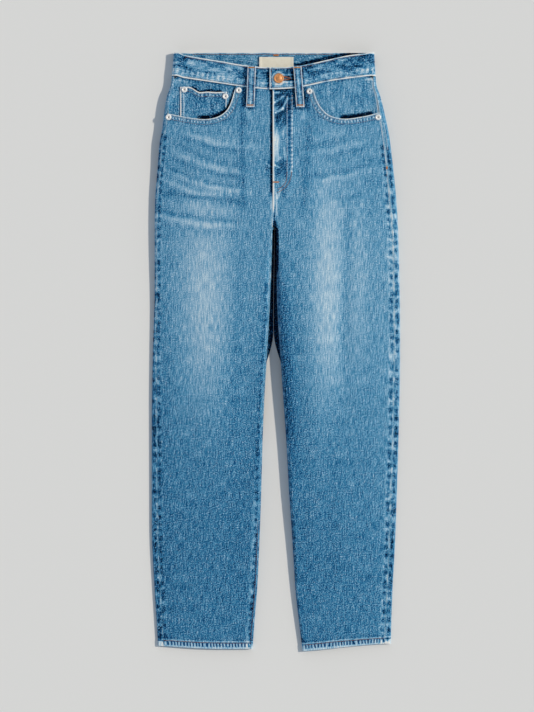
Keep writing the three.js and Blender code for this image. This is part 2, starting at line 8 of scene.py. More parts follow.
import bpy
import numpy as np
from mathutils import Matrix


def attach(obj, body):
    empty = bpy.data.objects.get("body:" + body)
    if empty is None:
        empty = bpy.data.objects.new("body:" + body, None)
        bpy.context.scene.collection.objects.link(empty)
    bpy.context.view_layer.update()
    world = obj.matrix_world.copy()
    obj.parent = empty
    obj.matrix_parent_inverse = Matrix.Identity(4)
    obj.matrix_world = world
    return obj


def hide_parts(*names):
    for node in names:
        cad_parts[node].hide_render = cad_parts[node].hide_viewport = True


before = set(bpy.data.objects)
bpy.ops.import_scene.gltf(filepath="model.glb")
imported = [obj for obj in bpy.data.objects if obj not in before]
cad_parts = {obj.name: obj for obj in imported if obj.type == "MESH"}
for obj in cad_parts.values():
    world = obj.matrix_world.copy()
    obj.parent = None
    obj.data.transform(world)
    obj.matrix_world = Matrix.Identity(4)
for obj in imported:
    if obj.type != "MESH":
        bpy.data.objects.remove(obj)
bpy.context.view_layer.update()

MM = 0.001
LENGTH = 1076.0
DENIM = 1.2
BAND_WALL = 2.4
BAND_HEIGHT = 40.0
SEAM_GAP = 0.3
FOLD_SEAM_GAP = 0.5
CROTCH = 315.0
CROTCH_ROUND = 9.0
FLY_END = CROTCH - 2
FLY_X = -5.8
SLOT_X = -2.2
SEAT_X = -2.8
INSEAM_INSET = 2.5
HEM_HEIGHT = 11.0
HEM_RELIEF = 0.8
HEM_STITCHES = 10.3
FLY_PITCH = 7.8
SEAT_LIFT = 1.5
CROWN = 1.6
CORNER_SHARE = 0.42
# The inner fold's corner radius at the crotch, and how much it grows for each millimetre below it
INNER_CORNER, INNER_CORNER_GROWTH = 2.0, 0.12
# The fly's outer layer: width, rise, soft edge, and the levels where it curves in and fades out
FLY_WIDTH, FLY_RISE, FLY_EDGE = 34.0, 2.2, 12.0
FLY_CURVE_START, FLY_CURVE_LENGTH, FLY_FADE_START, FLY_FADE_END = 215.0, 56.0, 235.0, 268.0
# Levels between which the seat comes down to the floor
SEAT_LIFT_START, SEAT_LIFT_END = 285.0, 335.0
# The outseam is worn and puckered from here down
WORN_SEAM_START = 150.0
MOUTH_LENGTH = 140.0
FAR = 1000.0
# Rows of the grids follow the slope of the band down to here, and that of the hem from here on
BAND_SLOPE_END = CROTCH - 12
HEM_SLOPE_START = 900.0

# Cross sections, as the solids have them: outer and inner are the silhouette of each leg, seam is
# how far the outseam lies in from it, edge and middle are heights, and bulge is added between them
SECTION_COLUMNS = [
    "down", "outer_right", "outer_left", "seam_right", "seam_left", "inner_right", "inner_left",
    "edge", "middle", "bulge",
]
SECTIONS = [
    [0, -183.8, 176.8, 4, 4, -6.5, 0.9, 14, 20, 0.4],
    [40, -187.1, 179.3, 4, 4, -6.5, 0.9, 15, 22, 0.4],
    [60, -189.5, 181.3, 3, 5, -6.5, 0.9, 16, 23, 0.6],
    [76, -195.3, 187.1, 4, 6, -6.5, 0.9, 17, 24, 0.8],
    [99, -199.8, 193.1, 5.5, 8, -6.5, 0.9, 17.5, 25, 0.8],
    [137, -204.5, 201.6, 6.7, 10.6, -6.5, 0.9, 17, 27, 1.2],
    [160, -209, 205.4, 5, 10.8, -6.5, 0.9, 16, 27.5, 1.2],
    [205, -212.7, 210.8, 4.3, 10.8, -6.5, 0.9, 14, 28, 1.2],
    [263, -217.2, 216.6, 3.6, 11.5, -6.5, 0.9, 12.5, 28, 1.2],
    [335, -218.1, 220.5, 3, 10.2, -6.5, 1.2, 12, 26, 1.6],
    [445, -218.5, 222.9, 3.6, 10, -10.4, 2, 9, 23, 2],
    [531, -221.2, 223.3, 5.4, 10.2, -15.1, 6.9, 7, 21, 2],
    [617, -223, 222.5, 7.7, 10.4, -20.5, 12.8, 6, 20, 2],
    [704, -223.4, 220.5, 9, 10.6, -24.1, 18.9, 5.4, 18, 1.8],
    [790, -223.4, 217.7, 9.7, 10.8, -26.4, 23.6, 5.2, 16, 1.6],
    [877, -223, 214.7, 10.8, 9.9, -29.5, 29.5, 5, 13, 2],
    [963, -218.5, 210, 10.4, 9.9, -33.5, 34.9, 5, 10, 2],
    [1006, -215.8, 208.3, 9.9, 10.2, -37.1, 39.4, 5, 9, 1.8],
    [LENGTH, -211.5, 206.1, 9.4, 10.6, -42.3, 48, 5, 7.5, 1.5],
]
BAND_COLUMNS = ["x", "top", "bottom"]
BAND = [
    [-186, 0.5, 42.5], [-144, 8.3, 48.8], [-102, 15.2, 55], [-53, 23.4, 62], [-12, 27, 66],
    [30, 25.8, 64.3], [60, 20.7, 59.4], [90, 13.9, 52.6], [132, 4.8, 46.3], [178, 0, 40.5],
]
POCKET_COLUMNS = ["x", "down"]
POCKET_RIGHT = [
    [-198, 108.5], [-177.3, 112.7], [-149.4, 117.7], [-126.4, 119.6], [-108, 116.4], [-94.3, 109.3],
    [-85.5, 99.5], [-79.5, 86], [-76, 74], [-73, 64],
]
POCKET_LEFT = [
    [66.5, 64], [69.5, 74], [73, 84.1], [78.3, 94.7], [85, 103.4], [94, 111.4], [105, 116],
    [118, 118.6], [132, 118.5], [148, 116.2], [165, 113], [190, 106.5],
]
# The largest soft folds of the front: from, to, x at each end, height and width
FOLDS = [
    [130, 330, -60, -62, 1.4, 15], [350, 960, -48, -64, -1.2, 17], [420, 820, -150, -158, -1.2, 22],
    [130, 300, 52, 60, 1.4, 15], [300, 740, 126, 118, -1.8, 16], [340, 900, 26, 58, -1.6, 15],
]


def mix(a, b, share):
    return a + (b - a) * share


def smooth(start, end, value):
    share = np.clip((value - start) / (end - start), 0, 1)
    return share * share * (3 - 2 * share)


def span(value, start, full, held, end):
    """Rises from 0 to 1 between start and full, and falls back to 0 between held and end."""
    return smooth(start, full, value) * smooth(end, held, value)


def bell(value, middle, width):
    return np.exp(-(((value - middle) / width) ** 2))


def soft_patch(u, v, middle, size, powers):
    """1 at its middle and 0 well outside its size. Higher powers give it a flatter middle."""
    across = np.abs((u - middle[0]) / size[0]) ** powers[0]
    return np.exp(-across - np.abs((v - middle[1]) / size[1]) ** powers[1])


def soft_noise(x, y, size, seed):
    """Smooth noise from -1 to 1, with features about this many millimetres wide."""
    table = np.random.default_rng(seed).uniform(-1, 1, (64, 64))
    u, v = np.broadcast_arrays(np.asarray(x, float) / size, np.asarray(y, float) / size)
    i, j = np.floor(u).astype(int), np.floor(v).astype(int)
    f, g = u - i, v - j
    f, g = f * f * (3 - 2 * f), g * g * (3 - 2 * g)
    low = mix(table[i % 64, j % 64], table[(i + 1) % 64, j % 64], f)
    high = mix(table[i % 64, (j + 1) % 64], table[(i + 1) % 64, (j + 1) % 64], f)
    return mix(low, high, g)


def column(names, rows, key, wanted):
    """A smooth curve through one column of a table, looked up by another."""
    xs = np.array([row[names.index(key)] for row in rows], float)
    ys = np.array([row[names.index(wanted)] for row in rows], float)
    count = len(xs)
    before = np.maximum(np.arange(count) - 1, 0)
    after = np.minimum(np.arange(count) + 1, count - 1)
    slopes = (ys[after] - ys[before]) / (xs[after] - xs[before])

    def at(value):
        value = np.asarray(value, float)
        i = np.clip(np.searchsorted(xs, value, side="right") - 1, 0, count - 2)
        width = xs[i + 1] - xs[i]
        t = np.clip((value - xs[i]) / width, 0, 1)
        rise = ys[i + 1] - ys[i]
        m0, m1 = slopes[i] * width, slopes[i + 1] * width
        return ys[i] + m0 * t + (3 * rise - 2 * m0 - m1) * t**2 + (m0 + m1 - 2 * rise) * t**3

    return at


def section(wanted):
    return column(SECTION_COLUMNS, SECTIONS, "down", wanted)


class Side:
    def __init__(self, name, sign, pocket, pocket_end, hem_outer, hem_inner, hem_sag):
        self.name, self.sign = name, sign
        self.outer = section(f"outer_{name}")
        self.inner = section(f"inner_{name}")
        self.seam = section(f"seam_{name}")
        self.pocket = column(POCKET_COLUMNS, pocket, "x", "down")
        self.pocket_end = pocket_end
        self.hem_outer, self.hem_inner, self.hem_sag = hem_outer, hem_inner, hem_sag


RIGHT = Side("right", -1, POCKET_RIGHT, pocket_end=-73, hem_outer=1067, hem_inner=1072, hem_sag=2)
LEFT = Side("left", 1, POCKET_LEFT, pocket_end=66.5, hem_outer=1063, hem_inner=LENGTH, hem_sag=-1)
edge_rise = section("edge")
middle_rise = section("middle")
bulge = section("bulge")
band_top = column(BAND_COLUMNS, BAND, "x", "top")
band_bottom = column(BAND_COLUMNS, BAND, "x", "bottom")


def seat_x(side):
    return SEAT_X + side.sign * SEAM_GAP / 2


def inner_edge(side, down):
    opened = 1 - np.clip((down - CROTCH) / CROTCH_ROUND, 0, 1)
    leg = mix(seat_x(side), side.inner(down), np.sqrt(1 - opened**2))
    return np.where(down < CROTCH, FLY_X, leg)


def outer_corner(down):
    return CORNER_SHARE * edge_rise(down)


def inner_corner(down):
    grown = INNER_CORNER + INNER_CORNER_GROWTH * (down - CROTCH)
    return np.clip(np.minimum(CORNER_SHARE * middle_rise(down), grown), 0, None)


def corner(away, radius):
    inside = np.clip(radius - away, 0, None)
    return radius - np.sqrt(np.clip(radius**2 - inside**2, 0, None))


def fold_rise(x, down):
    total = 0
    for start, end, x_start, x_end, height, width in FOLDS:
        along = np.clip((down - start) / (end - start), 0, 1)
        total = total + height * np.sin(np.pi * along) * bell(x, mix(x_start, x_end, along), width)
    return total


def fly_rise(x, down):
    """The fly's outer layer stands over the right front, and fades out past its curved seam."""
    below = np.clip((down - FLY_CURVE_START) / FLY_CURVE_LENGTH, 0, 1)
    width = FLY_WIDTH * np.sqrt(1 - below**2) + 2
    rise = FLY_RISE * smooth(width + FLY_EDGE, width - FLY_EDGE, x - FLY_X)
    rise = rise * smooth(FLY_FADE_END, FLY_FADE_START, down)
    return np.where((x < FLY_X) | (down > FLY_FADE_END), 0, rise)


def upper(side, x, down):
    """The height of the garment's upper face, as the solids have it."""
    inner, outer, edge = inner_edge(side, down), side.outer(down), edge_rise(down)
    t = np.clip((x - outer) / (inner - outer), 0, 1)
    z = edge + (middle_rise(down) - edge) * (1 - (1 - t) ** CROWN)
    z = z + bulge(down) * np.sin(np.pi * t) + fold_rise(x, down) + fly_rise(x, down)
    z = z - corner(np.abs(x - outer), outer_corner(down))
    return z - np.where(down >= CROTCH, corner(np.abs(x - inner), inner_corner(down)), 0)


def lift(down):
    return SEAT_LIFT * smooth(SEAT_LIFT_END, SEAT_LIFT_START, down)


def lower(side, x, down):
    z = lift(down) + corner(np.abs(x - side.outer(down)), outer_corner(down))
    turned = corner(np.abs(x - inner_edge(side, down)), inner_corner(down))
    return z + np.where(down >= CROTCH, turned, 0)


def seam_x(side, down):
    return side.outer(down) - side.sign * side.seam(down)


def front_inner(side, down):
    """Where the front ends towards the middle: at the fly, then at the inseam."""
    fly = FLY_X + side.sign * SEAM_GAP / 2
    inseam = inner_edge(side, np.maximum(down, CROTCH)) + side.sign * (INSEAM_INSET + FOLD_SEAM_GAP)
    return np.where(down < FLY_END - 0.1, fly, inseam)


def hem_at(side, t):
    """A leg's hem line, from its outer fold (0) to its inner one (1)."""
    return mix(side.hem_outer, side.hem_inner, t) + side.hem_sag * np.sin(np.pi * t)


def upper_any(x, down):
    return np.where(x < FLY_X, upper(RIGHT, x, down), upper(LEFT, x, down))


# Washing marks and painted shade. The wear value runs from 0, unworn indigo, to 1, bare white yarn; below 0
# it is painted shade.
BASE_COLUMNS = ["down", "wear_and_shade"]
BASE_WEAR = [
    [0, 0.42], [120, 0.43], [220, 0.42], [330, 0.43], [450, 0.41], [600, 0.345], [760, 0.30],
    [880, 0.275], [940, 0.27], [LENGTH, 0.28],
]
base_wear = column(BASE_COLUMNS, BASE_WEAR, "down", "wear_and_shade")
# Broad fades: x, down, width, reach up, reach down, strength. The one at x 20 below the crotch is painted
# shade on the left leg's inner side, and the two at x -61 and 62 are painted shade in soft vertical bands
# at the hips.
FADES = [
    [-127, 450, 44, 150, 200, 0.265], [-130, 250, 62, 90, 90, 0.04], [-90, 210, 40, 60, 60, 0.03],
    [94, 420, 31, 170, 210, 0.27], [150, 400, 17, 160, 190, 0.12], [98, 240, 46, 60, 70, 0.03],
    [-180, 240, 22, 70, 70, -0.03], [192, 560, 22, 330, 470, 0.06], [20, 560, 18, 160, 200, -0.08],
    [165, 250, 26, 60, 60, -0.03], [-61, 200, 9, 80, 95, -0.05], [62, 215, 9, 90, 100, -0.05],
    [120, 690, 80, 260, 340, 0.045],
]
# Whiskers and other soft streaks: x and down at each end, sag, width, strength
STREAKS = [
    [-162, 146, -16, 166, 10, 5, 0.15], [-168, 152, -50, 180, 5, 4.5, -0.11],
    [-176, 165, -50, 204, 9, 4.5, -0.09], [-180, 179, -50, 217, 7, 5, 0.15],
    [-174, 195, -60, 226, 4, 4, -0.12], [-192, 206, -62, 244, 7, 4.5, -0.12],
    [-187, 217, -36, 253, 8, 5.5, 0.16], [-200, 231, -88, 258, 7, 5, 0.13],
    [-208, 254, -52, 271, -2, 5, -0.14], [-190, 273, -70, 282, 3, 9, 0.09],
    [-203, 285, -60, 305, 3, 4.5, -0.12], [-203, 294, -52, 309, 7, 5.5, 0.15],
    [-192, 311, -60, 323, 2, 5, -0.07], [58, 181, 168, 160, 1, 5.5, 0.14],
    [64, 170, 128, 157, 0, 5, -0.08], [88, 190, 171, 167, 1, 5, -0.08],
    [66, 224, 176, 202, 2, 5, -0.12], [74, 231, 179, 205, 3, 6, 0.12],
    [100, 262, 160, 254, 2, 5, -0.09], [74, 154, 128, 143, 1, 5, 0.08],
    [84, 286, 158, 276, 3, 6, 0.05],
]
# Soft marks that run down the garment: down and x at each end, width, strength
STRIPES = [
    [100, -63, 285, -57, 4, -0.13], [105, 60, 300, 48, 6, -0.10], [262, 132, 560, 119, 8, -0.08],
    [340, -64, 700, -78, 9, -0.06], [700, -60, 1000, -80, 16, -0.03], [420, 22, 1000, 66, 12, -0.03],
    [600, 108, 980, 100, 17, -0.04],
]
# Short creases: x and down at each end, width, strength
CREASES = [
    [-2, 90, 13, 79, 2.1, 0.85], [-1, 102, 4, 98, 1.8, 0.7], [0, 108, 12.5, 101, 2.3, 0.95],
    [12.5, 101, 21.5, 82, 2.2, 0.8], [7, 128, 14, 112, 1.9, 0.5], [-3, 202, 6, 207, 1.7, 0.6],
    [1, 196, 8, 189, 1.6, 0.42], [-18, 199, -8, 206, 1.6, 0.45], [-20, 214, -8, 219, 1.6, 0.3],
    [3, 262, 9, 246, 1.8, 0.36], [12, 150, 16, 134, 2.2, 0.26], [15, 172, 17, 190, 2.2, 0.2],
    [9, 223, 14, 213, 2, 0.3], [0.8, 254, 1.5, 292, 1.6, 0.34], [-10, 96, -8, 104, 2, 0.2],
    [-48, 118, -52, 100, 3, 0.22], [48, 118, 54, 104, 3, 0.22], [11, 88, 17, 76, 1.8, 0.3],
]
# Spots: x, down, width, height, strength
SPOTS = [
    [8, 97, 12, 36, -0.60], [26, 84, 9, 24, -0.34], [8, 208, 12, 17, -0.33], [53, 74, 6, 12, -0.28],
    [-13, 208, 6, 15, -0.26], [1.5, 164, 4.2, 28, 0.40], [14, 250, 6, 12, -0.12],
    [22, 190, 5, 40, -0.1], [57, 92, 5, 16, -0.30], [-70, 96, 4, 10, -0.12], [-56, 116, 8, 20, -0.1],
    [-30, 78, 24, 10, -0.04],
]
# Soft lines along an edge: how far each lies from it, its width and its strength
MOUTH_LINES = [[0.4, 1.5, 0.55], [6, 2.6, -0.12], [10.8, 1.3, -0.16]]
HEM_LINES = [[0.8, 1.6, 0.10], [HEM_STITCHES, 0.8, -0.6], [HEM_HEIGHT + 1.6, 1.1, 0.45]]
COIN_TOP_LINES = [[0.6, 1.9, 0.85], [5.2, 2.4, -0.14], [11, 2, -0.12]]
COIN_SIDE_LINES = [[0.4, 1.6, 0.85], [3, 1.4, -0.15], [6.6, 1.1, 0.34]]
BAND_END_LINES = [[0.4, 1.5, 0.6], [4, 1.5, -0.2]]
# The same, as shares of the band's height, of a loop's width from its middle and of its length
BAND_LINES = [[0.014, 0.03, 0.75], [0.08, 0.03, -0.16], [0.77, 0.14, 0.04], [0.984, 0.034, 0.75]]
LOOP_SIDE_LINES = [[0, 0.08, 0.38], [0.35, 0.06, -0.26], [0.475, 0.05, 0.80]]
LOOP_END_LINES = [[0, 0.02, 0.25], [0.995, 0.02, 0.7]]


def segment_distance(x, down, x0, down0, x1, down1):
    dx, dy = x1 - x0, down1 - down0
    t = np.clip(((x - x0) * dx + (down - down0) * dy) / (dx**2 + dy**2), 0, 1)
    return np.hypot(x - x0 - t * dx, down - down0 - t * dy)


def line_wear(away, lines):
    """What a table of soft lines adds to the wear at this distance from their edge."""
    return sum(strength * bell(away, middle, width) for middle, width, strength in lines)


def streak_wear(x, down):
    total = np.zeros(np.broadcast(x, down).shape)
    warped = down + 2.6 * soft_noise(x, down, 17, 45)
    uneven = 1 + 0.45 * soft_noise(x, down, 15, 46)
    for x0, down0, x1, down1, sag, width, strength in STREAKS:
        t = (x - x0) / (x1 - x0)
        held = span(t, -0.22, 0.14, 0.78, 1.1)
        crest = mix(down0, down1, t) + 4 * sag * t * (1 - t)
        total += strength * held * uneven * bell(warped, crest, width)
    for down0, x0, down1, x1, width, strength in STRIPES:
        t = (down - down0) / (down1 - down0)
        held = span(t, -0.05, 0.15, 0.85, 1.05)
        total += strength * held * bell(x, mix(x0, x1, t), width)
    return total


def wash_and_shade(x, down):
    """How worn the front's open cloth is, with the painted shade of some darker fades, before its seams are
    counted.
    """
    total = base_wear(down) + streak_wear(x, down)
    for fade_x, fade_down, width, reach_up, reach_down, strength in FADES:
        reach = np.where(down < fade_down, reach_up, reach_down)
        total = total + strength * soft_patch(x, down, (fade_x, fade_down), (width, reach), (2, 2.6))
    for spot_x, spot_down, width, height, strength in SPOTS:
        total = total + strength * soft_patch(x, down, (spot_x, spot_down), (width, height), (4, 4))
    for x0, down0, x1, down1, width, strength in CREASES:
        total = total + strength * bell(segment_distance(x, down, x0, down0, x1, down1), 0, width)
    return total


def ripples(x, down):
    """Soft unevenness of laid cloth, under a millimetre high."""
    z = 0.45 * soft_noise(x, down / 1.6, 34, 41) + 0.16 * soft_noise(x, down, 13, 43)
    return z + 1.5 * streak_wear(x, down)


def blotches(seed, start, end, pitch, offsets, size):
    """Places of the dark patches that washing leaves along a seam between its puckers."""
    draw = np.random.default_rng(seed)
    marks = []
    at = start
    while at < end:
        for offset in offsets:
            place_at, away = at + draw.normal(0, 1.6), offset + draw.normal(0, 0.5)
            marks.append([place_at, away, size * draw.uniform(0.7, 1.15), draw.uniform(0.6, 1)])
        at += pitch * draw.uniform(0.7, 1.3)
    return np.array(marks)


def blotch_wear(marks, run, offset):
    total = np.zeros(np.broadcast(run, offset).shape)
    for at, away, size, strength in marks:
        near = soft_patch(run, offset, (at, away), (0.52 * size, 0.38 * size), (3, 3))
        total = np.maximum(total, strength * near)
    return total


OUTSEAM_MARKS = {
    "right": blotches(3, 150, 1058, 13.6, (4.6, -4.4), 9.2),
    "left": blotches(5, 172, 1056, 14.4, (5.0, -5.0), 9.6),
}
INSEAM_MARKS = {
    "right": blotches(7, 420, 1056, 12.8, (5.4,), 8.8),
    "left": blotches(11, 380, 1060, 13.0, (-0.8,), 8.0),
}


def seam_offset(side, x, down):
    """How far a point lies from the outseam, positive on the front's side of it."""
    return side.sign * (seam_x(side, down) - x)


def inseam_offset(side, x, down):
    """How far a point of the front lies from its inner edge."""
    return side.sign * (x - front_inner(side, down))


def outseam_wear(side, x, down):
    """The outseam's pale ridge on a lighter strip with dark patches, from the hip down."""
    offset = seam_offset(side, x, down)
    below = smooth(WORN_SEAM_START, 300, down)
    speckle = soft_noise(offset, down, 3.6, 48) + 0.6 * soft_noise(offset, down, 7, 49)
    lighter, ridge, line = (0.20, 0.10, 0.20) if side is LEFT else (0.09, 0.15, 0.06)
    total = smooth(13, 8, np.abs(offset)) * below * (lighter + 0.15 * speckle)
    total = total + ridge * bell(offset, 0, 1.5) * (1 + 0.9 * speckle)
    total = total + line * (1 - below) * bell(offset, 0, 1.6)
    return total - (0.40 + lighter) * blotch_wear(OUTSEAM_MARKS[side.name], down, offset)


def mouth_depth(side, x, down):
    """How far below its pocket's mouth a point of the front lies, or very far where it has none."""
    outward = side.sign * (x - side.pocket_end)
    return np.where(outward > 0, down - side.pocket(x), FAR)


def mouth_slope(side, x):
    return side.pocket(x + 0.5) - side.pocket(x - 0.5)


def mouth_away(side, x, down):
    """The same, square to the mouth's curve."""
    return mouth_depth(side, x, down) / np.sqrt(1 + mouth_slope(side, x) ** 2)


def hem_distance(side, x, down):
    t = np.clip((x - side.outer(down)) / (inner_edge(side, down) - side.outer(down)), 0, 1)
    return hem_at(side, t) - down


def hem_relief(edge):
    return HEM_RELIEF * smooth(HEM_HEIGHT + 0.8, HEM_HEIGHT - 0.4, edge)


def hem_wear(edge, x):
    """The hem is paler than the leg. It has a dark line at its stitches, a white one just above them
    and a softer dark one above that."""
    band = smooth(HEM_HEIGHT + 0.5, HEM_HEIGHT - 1, edge)
    total = band * (0.36 + 0.08 * soft_noise(x, edge, 6, 44)) + line_wear(edge, HEM_LINES)
    return total - 0.20 * bell(edge, HEM_HEIGHT + 4.4, 1.8) * smooth(-0.6, 0.3, soft_noise(x, 0, 9, 50))


def beside_fly(down):
    """1 where the fly's stitches run straight down."""
    return span(down, 70, 80, 212, 225)


def front_face(side, x, down):
    """The height of the front's outer face, with its puckers, its hem and its pocket's edge."""
    z = upper(side, x, down) + ripples(x, down) * smooth(2, 16, np.abs(x - side.outer(down)))
    seam_waves = np.sin(down / 14.8 * math.tau) * smooth(WORN_SEAM_START, 220, down)
    z = z + 0.35 * bell(seam_offset(side, x, down), 5, 3) * seam_waves
    away = mouth_away(side, x, down)
    mouth_dots = dots(mouth_run(side, x, away), 7.4) * bell(away, 6, 2.3)
    z = z + 0.35 * smooth(10.5, 8, away) * (1 + mouth_dots) + 0.9 * smooth(7, 0, away)
    if side is LEFT:
        z = z + beside_fly(down) * 0.35 * (dots(down, FLY_PITCH) - 0.4) * bell(x, 25, 5)
        z = z + 0.9 * smooth(12, 2, x - FLY_X) * smooth(290, 262, down)
    edge = hem_distance(side, x, down)
    z = z + hem_relief(edge) - 0.4 * dots(x + 0.7 * edge, 8.4) * bell(edge, 5.8, 2.6)
    inseam_waves = np.sin(down / 6.2) * smooth(CROTCH, CROTCH + 30, down)
    return z + 0.22 * bell(inseam_offset(side, x, down), 5, 2.6) * inseam_waves


def loop_shadow(x, down):
    """How much painted shadow a point gets beside a front loop's long edges, 1 at them and more on their
    shaded side, and below the loop's lower end.
    """
    total = 0
    for name, (x_top, down_top, x_bottom, down_bottom) in LOOPS.items():
        away = x - mix(x_top, x_bottom, (down - down_top) / (down_bottom - down_top))
        held = span(down, down_top - 1, down_top + 3, down_bottom - 2, down_bottom + 2)
        broad, reach = (1.35, 4.4) if name == "right" else (1.2, 2.4)
        total = total + held * (broad * bell(away, -7.6 - reach, reach) + 0.9 * bell(away, 8.8, 1.8))
        total = total + 1.5 * bell(away, 0, 7.5) * bell(down, down_bottom + 2.6, 2.2)
    return total


def shade_and_patch_below_band(side, x, down):
    """A painted shadow under the band's edge beside the fly, and on the left a light patch below it."""
    below_band = down - band_bottom(x)
    shade = -0.62 * bell(below_band, 1.2, 2.2) * span(x, -20, -8, 22, 30)
    patch = 0.748 * bell(below_band, 6.2, 2) * bell(x, 3, 5)
    return shade + (patch if side is LEFT else 0)


def inseam_wear(side, down, inner):
    """Dark patches along the inseam, and low on the right a pale strip beside them."""
    leg = smooth(CROTCH - 5, CROTCH + 25, down)
    total = leg * (0.12 * bell(inner, 0, 1.8) - 0.03 * smooth(26, 8, inner))
    if side is RIGHT:
        pale = (0.30 + 0.16 * soft_noise(down, 0, 8, 91)) * bell(inner, 7, 4)
        line = 0.34 * bell(inner, 1.6, 1.1) * smooth(840, 880, down)
        total = total + smooth(740, 800, down) * (pale - line)
    depth = 0.30 + (0.30 if side is RIGHT else 0.2) * smooth(760, 820, down)
    return total - depth * leg * blotch_wear(INSEAM_MARKS[side.name], down, inner)


def left_edge_wear_and_shade(x, down, inner):
    """The left front's pale edge at the fly's end, and painted shade: the dark slot that opens below it, a
    dark strip along its inner edge, and softer shade beside that edge lower down.
    """
    edge_line = 0.80 * bell(inner, 0.8, 2.0) * smooth(296, 276, down)
    width = 0.9 + 4.4 * np.clip((down - 300) / (FLY_END - 300), 0, 1)
    slot = smooth(1.3, 0.6, np.abs(x - SLOT_X) / width) * mix(0.55, 1, smooth(298, 306, down))
    slot = slot * span(down, 272, 284, FLY_END, FLY_END + 9)
    strip = smooth(1.6, 0.4, inner) * span(down, 306, 314, 360, 400)
    shade = 0.17 * smooth(24, 3, inner) * span(down, 370, 450, 640, 800)
    return edge_line - 0.8 * np.maximum(slot, strip) - shade


def right_edge_wear_and_shade(down, inner):
    """Painted shade in the groove beside the fly's folded edge, and the pale line below it."""
    groove_shade = 0.72 * smooth(5.2, 3.4, inner) * smooth(268, 240, down)
    line = 0.34 * bell(inner, 0.6, 1.6) * span(down, 238, 262, 308, 320)
    return line - groove_shade


# The front's wear, with painted shade beside the loops, under the band, in the fly's groove and along the
# inner edges.
def front_wear_and_shade(side, x, down):
    wear_and_shade = wash_and_shade(x, down) + outseam_wear(side, x, down) - 0.45 * loop_shadow(x, down)
    wear_and_shade = wear_and_shade + shade_and_patch_below_band(side, x, down) + hem_wear(hem_distance(side, x, down), x)
    inner = inseam_offset(side, x, down)
    wear_and_shade = wear_and_shade + line_wear(mouth_away(side, x, down), MOUTH_LINES) + inseam_wear(side, down, inner)
    if side is RIGHT:
        near_seam = smooth(34, 12, seam_offset(side, x, down)) * smooth(WORN_SEAM_START, 330, down)
        return wear_and_shade - 0.04 * near_seam + right_edge_wear_and_shade(down, inner)
    fly = 0.12 * bell(x, 20.5, 1.4) - 0.22 * bell(x, 24.5, 4) * smooth(190, 150, down)
    return wear_and_shade + beside_fly(down) * fly + left_edge_wear_and_shade(x, down, inner)


def mouth_run(side, x, away):
    """How far along its pocket's mouth, from the end at the middle, a point's nearest place lies."""
    step = 0.5
    table = np.arange(0, MOUTH_LENGTH + step, step)
    slopes = mouth_slope(side, side.pocket_end + side.sign * table)
    runs = np.concatenate([[0], np.cumsum(np.hypot(1, slopes)[1:] * step)])
    slope = mouth_slope(side, x)
    nearest = x + np.clip(away, 0, 12) * slope / np.sqrt(1 + slope**2)
    return np.interp(side.sign * (nearest - side.pocket_end), table, runs)


def front_puckers(side, x, down):
    """Strength and count of the marks along a front's hem, its pocket's mouth and its fly."""
    edge = hem_distance(side, x, down)
    at_hem = span(edge, 2.2, 4.2, HEM_HEIGHT - 2.4, HEM_HEIGHT - 0.6)
    away = mouth_away(side, x, down)
    strength = -0.62 * at_hem + 0.40 * bell(away, 6, 1.9)
    at_hem_count = (x + 0.1 * edge) / 5.8 + 0.4 * soft_noise(x, 0 * x, 17, 90)
    count = np.where(edge < 40, at_hem_count, mouth_run(side, x, away) / 5.6)
    if side is RIGHT:
        return strength, count
    at_fly = (x < 40) & (down < 240)
    fly_marks = beside_fly(down) * (0.5 * bell(x, 28.6, 1.7) - 0.22 * bell(x, 24.4, 2.6))
    fly_count = (down - FLY_PITCH / 2 * smooth(27.5, 25.5, x)) / FLY_PITCH
    return np.where(at_fly, fly_marks, strength), np.where(at_fly, fly_count, count)


def dots(run, pitch):
    """Evenly spaced bumps along a run, each about a third as long as their spacing."""
    return np.exp(-(((run / pitch) % 1 - 0.5) ** 2) / 0.028)


def place(x, down, z):
    return np.stack(np.broadcast_arrays(x, LENGTH / 2 - down, z), axis=-1)


def grid_normals(grid):
    normals = np.cross(np.gradient(grid, axis=0), np.gradient(grid, axis=1))
    return normals / np.maximum(np.linalg.norm(normals, axis=-1, keepdims=True), 1e-9)


def object_from(name, points, faces, material, attributes=None, sharp=50):
    """A smooth-shaded object in metres, with its point attributes."""
    mesh = bpy.data.meshes.new(name)
    mesh.from_pydata((np.asarray(points) * MM).tolist(), [], np.asarray(faces).tolist())
    for key, values in (attributes or {}).items():
        values = np.asarray(values, np.float32)
        kind = "FLOAT_VECTOR" if values.ndim == 2 else "FLOAT"
        field = "vector" if values.ndim == 2 else "value"
        mesh.attributes.new(key, kind, "POINT").data.foreach_set(field, values.ravel())
    mesh.materials.append(material)
    mesh.shade_smooth()
    mesh.set_sharp_from_angle(angle=math.radians(sharp))
    mesh.validate()
    piece = bpy.data.objects.new(name, mesh)
    bpy.context.scene.collection.objects.link(piece)
    return piece


